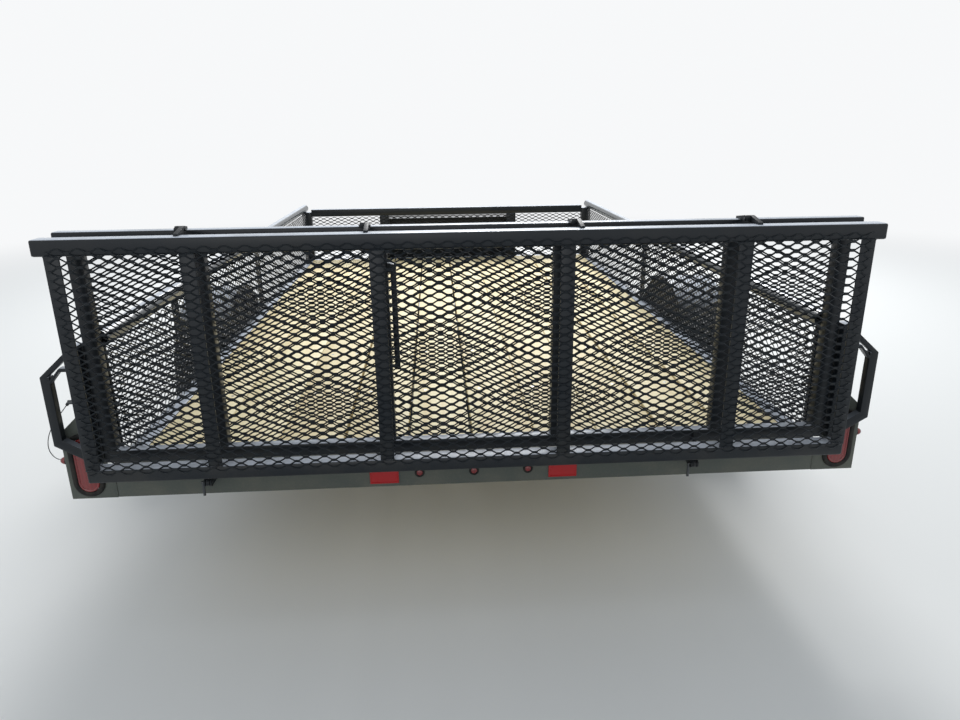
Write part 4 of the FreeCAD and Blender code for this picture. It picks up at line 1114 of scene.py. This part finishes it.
# centre, axis, stretch along the axis, share of the dome's radius, share of the collar's
seats = [((x, plate_rear, middle_z), (0, -1, 0), 1.0, 1.0, 1.0) for x in MIDDLE_ROW]
for sign in (1, -1):
    seats.append(((sign * side_x, side_y, side_z), (sign, 0, 0), SIDE_LONG, SIDE_WIDE, SIDE_COLLAR))
domes = Shape()
collars = Shape()
for centre, axis, stretch, wide, size in seats:
    spin(domes, centre, axis, [(along * stretch, radius * wide) for along, radius in dome])
    spin(collars, centre, axis, [(along, radius * size) for along, radius in collar])
make_piece("marker_domes", domes.points, domes.faces, "root", lamp_lens, ("marker_lamps",),
           smooth=True)
make_piece("marker_collars", collars.points, collars.faces, "root", grommet_rubber, smooth=True)
print("round lamps", len(seats))

# %% [markdown]
# Reflectors are flat red prisms in a shallow moulded case. A bevelled slab with a raised border is
# enough, because the prisms themselves are far smaller than a pixel and come from the bump.

# %% Reflectors
reflector_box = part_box("reflectors")
REFLECTOR_LONG = 0.086
BORDER = 0.004
slabs = Shape()
for sign in (1, -1):
    left, right = sorted((sign * (reflector_box[1][0] - REFLECTOR_LONG), sign * reflector_box[1][0]))
    bottom = reflector_box[0][2]
    top = reflector_box[1][2]
    rear = reflector_box[0][1]
    rings = []
    for y, inset in ((reflector_box[1][1], 0.0), (rear + 0.001, 0.0), (rear, 0.001), (rear, BORDER),
                     (rear + 0.0012, BORDER + 0.0006)):
        rings.append([(left + inset, y, bottom + inset), (right - inset, y, bottom + inset),
                      (right - inset, y, top - inset), (left + inset, y, top - inset)])
    slabs.sweep(rings)
make_piece("reflector_slabs", slabs.points, slabs.faces, "root", reflector_red,
           ("reflectors",))
print("reflector faces", len(slabs.faces))

# %% [markdown]
# ## Welds
#
# Bars, posts and hinges are joined by short weld beads, and a bead is a row of overlapping ripples. It
# is swept as a thin tube whose radius swells and shrinks along the joint.


# %% Weld beads
def add_weld(shape, start, end, radius=0.0032):
    """Rippled bead from start to end."""
    start = Vector(start)
    end = Vector(end)
    run = end - start
    steps = max(4, int(run.length / 0.0035))
    rings = []
    for step in range(steps + 1):
        swell = radius * (0.82 + 0.18 * (step % 2)) * (0.55 if step in (0, steps) else 1.0)
        rings.append([to_world(run, start, run.length * step / steps, swell, math.pi / 3 * corner)
                      for corner in range(6)])
    shape.sweep(rings)


def islands(node):
    """Bounds and count of corners of each separate bar in a node."""
    work = bmesh.new()
    work.from_mesh(nodes[node].data)
    merge_flat_faces(work)
    waiting = set(work.verts)
    found = []
    while waiting:
        edge_of_search = [waiting.pop()]
        members = []
        while edge_of_search:
            vertex = edge_of_search.pop()
            members.append(vertex.co.copy())
            for edge in vertex.link_edges:
                other = edge.other_vert(vertex)
                if other in waiting:
                    waiting.remove(other)
                    edge_of_search.append(other)
        low = [min(point[axis] for point in members) for axis in range(3)]
        high = [max(point[axis] for point in members) for axis in range(3)]
        found.append((low, high, len(members)))
    work.free()
    return found


def gate_welds(half_name):
    """Beads where the gate's uprights meet its top and bottom bars.

    A plain bar has eight corners and beads on both faces. Any other section has them at the rear.
    """
    shape = Shape()
    bars = islands(half_name + "_uprights")
    for low, high, corners in bars:
        sides = (low[1], high[1]) if corners == 8 else (low[1],)
        for z in (low[2], high[2]):
            for y in sides:
                add_weld(shape, (low[0], y, z), (high[0], y, z), 0.0022)
    make_piece(half_name + "_welds", shape.points, shape.faces, half_name, frame_paint)
    return len(bars)


for half_name in ("gate_upper", "gate_lower"):
    print(half_name, "bars welded", gate_welds(half_name))

# %% [markdown]
# ## Lanyard of the latch pin
#
# On the left corner a latch pin stands drawn out of its post. A thin wire ties its collar to the lamp
# plate, so that it can't be lost.

# %% Lanyard
WIRE_R = 0.0012
# the part's route, in millimetres from the gate's rear face, with X to the right and Z up
WIRE_ROUTE = [(-1139, 119, 756), (-1155, 128, 740), (-1178, 132, 714), (-1209, 135, 674),
              (-1226, 138, 632), (-1227, 143, 598), (-1212, 150, 572), (-1189, 150, 572)]
gate_rear = cad_box[0][1]
wire_points = [Vector((x / 1000, y / 1000 + gate_rear, z / 1000)) for x, y, z in WIRE_ROUTE]
wire_data = bpy.data.curves.new("lanyard_wire", "CURVE")
wire_data.dimensions = "3D"
wire_data.bevel_depth = WIRE_R
wire_data.bevel_resolution = 3
wire_data.resolution_u = 10
wire_data.use_fill_caps = True
spline = wire_data.splines.new("NURBS")
spline.points.add(len(wire_points) - 1)
for target, point in zip(spline.points, wire_points):
    target.co = (*point, 1.0)
spline.order_u = 3
spline.use_endpoint_u = True
wire = bpy.data.objects.new("lanyard_wire", wire_data)
bpy.context.scene.collection.objects.link(wire)
# The wire takes the darker pin steel, painted shade.
wire_data.materials.append(pin_steel_shaded)
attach(wire, "root")
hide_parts("lanyard")
print("wire points", len(wire_points))

# %% [markdown]
# ## Floor, backdrop and light
#
# The object stands on a plain pale floor under a wide soft sky. In the photograph the light comes from
# ahead and above, so one large lamp stands there. It puts a bright line on every upper face and leaves
# the rear faces dark. A weak one behind the camera opens the shadows. Far from the object the floor fades
# into the pale colour of the world, which mirrors show as well, so there is no hard horizon.

# %% Floor
def seen_directly(tree):
    """1 for rays of the camera, mirrors and glass, 0 for those that carry light from face to face."""
    path = tree.nodes.new("ShaderNodeLightPath")
    mirrored = math_node(tree, "MAXIMUM", path.outputs["Is Glossy Ray"], path.outputs["Is Transmission Ray"])
    return math_node(tree, "MAXIMUM", path.outputs["Is Camera Ray"], mirrored)


FLOOR_HALF = 40.0
FADE_FROM = 4.2
FADE_TO = 9.0
floor_mesh = bpy.data.meshes.new("floor")
floor_mesh.from_pydata([(-FLOOR_HALF, -FLOOR_HALF, 0), (FLOOR_HALF, -FLOOR_HALF, 0),
                        (FLOOR_HALF, FLOOR_HALF, 0), (-FLOOR_HALF, FLOOR_HALF, 0)], [], [(0, 1, 2, 3)])
floor = bpy.data.objects.new("floor", floor_mesh)
bpy.context.scene.collection.objects.link(floor)
floor_paint, tree, shader = new_material("pale floor", FLOOR, 0.9, Specular_IOR_Level=0.1)
place = tree.nodes.new("ShaderNodeTexCoord")
reach = tree.nodes.new("ShaderNodeVectorMath")
reach.operation = "LENGTH"
tree.links.new(place.outputs["Object"], reach.inputs[0])
far_off = ramp_node(tree, reach.outputs["Value"], FADE_FROM, FADE_TO)
haze = tree.nodes.new("ShaderNodeEmission")
haze.inputs["Color"].default_value = BACKDROP
blend = tree.nodes.new("ShaderNodeMixShader")
tree.links.new(math_node(tree, "MULTIPLY", far_off, seen_directly(tree)), blend.inputs["Fac"])
tree.links.new(shader.outputs[0], blend.inputs[1])
tree.links.new(haze.outputs[0], blend.inputs[2])
tree.links.new(blend.outputs[0], tree.nodes["Material Output"].inputs["Surface"])
floor_mesh.materials.append(floor_paint)
floor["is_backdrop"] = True
print("floor", FLOOR_HALF * 2, "m wide")

# %% World
SKY = (0.86, 0.93, 1.0, 1.0)
SKY_STRENGTH = 0.6
world = bpy.data.worlds.new("sky")
bpy.context.scene.world = world
world.use_nodes = True
tree = world.node_tree
tree.nodes.clear()
output = tree.nodes.new("ShaderNodeOutputWorld")
light = tree.nodes.new("ShaderNodeBackground")
light.inputs["Color"].default_value = SKY
light.inputs["Strength"].default_value = SKY_STRENGTH
shown = tree.nodes.new("ShaderNodeBackground")
shown.inputs["Color"].default_value = BACKDROP
shown.inputs["Strength"].default_value = 1.0
blend = tree.nodes.new("ShaderNodeMixShader")
tree.links.new(seen_directly(tree), blend.inputs["Fac"])
tree.links.new(light.outputs[0], blend.inputs[1])
tree.links.new(shown.outputs[0], blend.inputs[2])
tree.links.new(blend.outputs[0], output.inputs["Surface"])
print("world ready")


# %% Lamps
def soft_lamp(name, place, target, size, watts):
    """Square area lamp that points at a target."""
    data = bpy.data.lights.new(name, "AREA")
    data.size = size
    data.energy = watts
    lamp = bpy.data.objects.new(name, data)
    bpy.context.scene.collection.objects.link(lamp)
    lamp.location = place
    lamp.rotation_euler = (Vector(target) - Vector(place)).to_track_quat("-Z", "Y").to_euler()
    return lamp


soft_lamp("sky lamp", (0.9, 4.6, 5.6), (0.0, -0.8, 0.4), 3.6, 560)
soft_lamp("fill lamp", (-1.5, -6.5, 3.2), (0.0, -1.0, 0.6), 4.0, 60)
bpy.context.scene.view_settings.view_transform = "Standard"
print("lamps 2")

# %% [markdown]
# ## Finish
#
# Both boxes, the CAD model's and the visual model's, are printed side by side. The
# visual model may not outgrow the CAD model.

# %% Sizes and the last line
bpy.context.view_layer.update()
visual_box = [list(corner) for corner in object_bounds()]
for label, box in (("cad", cad_box), ("visual", visual_box)):
    print(label, [[round(value, 4) for value in corner] for corner in box])
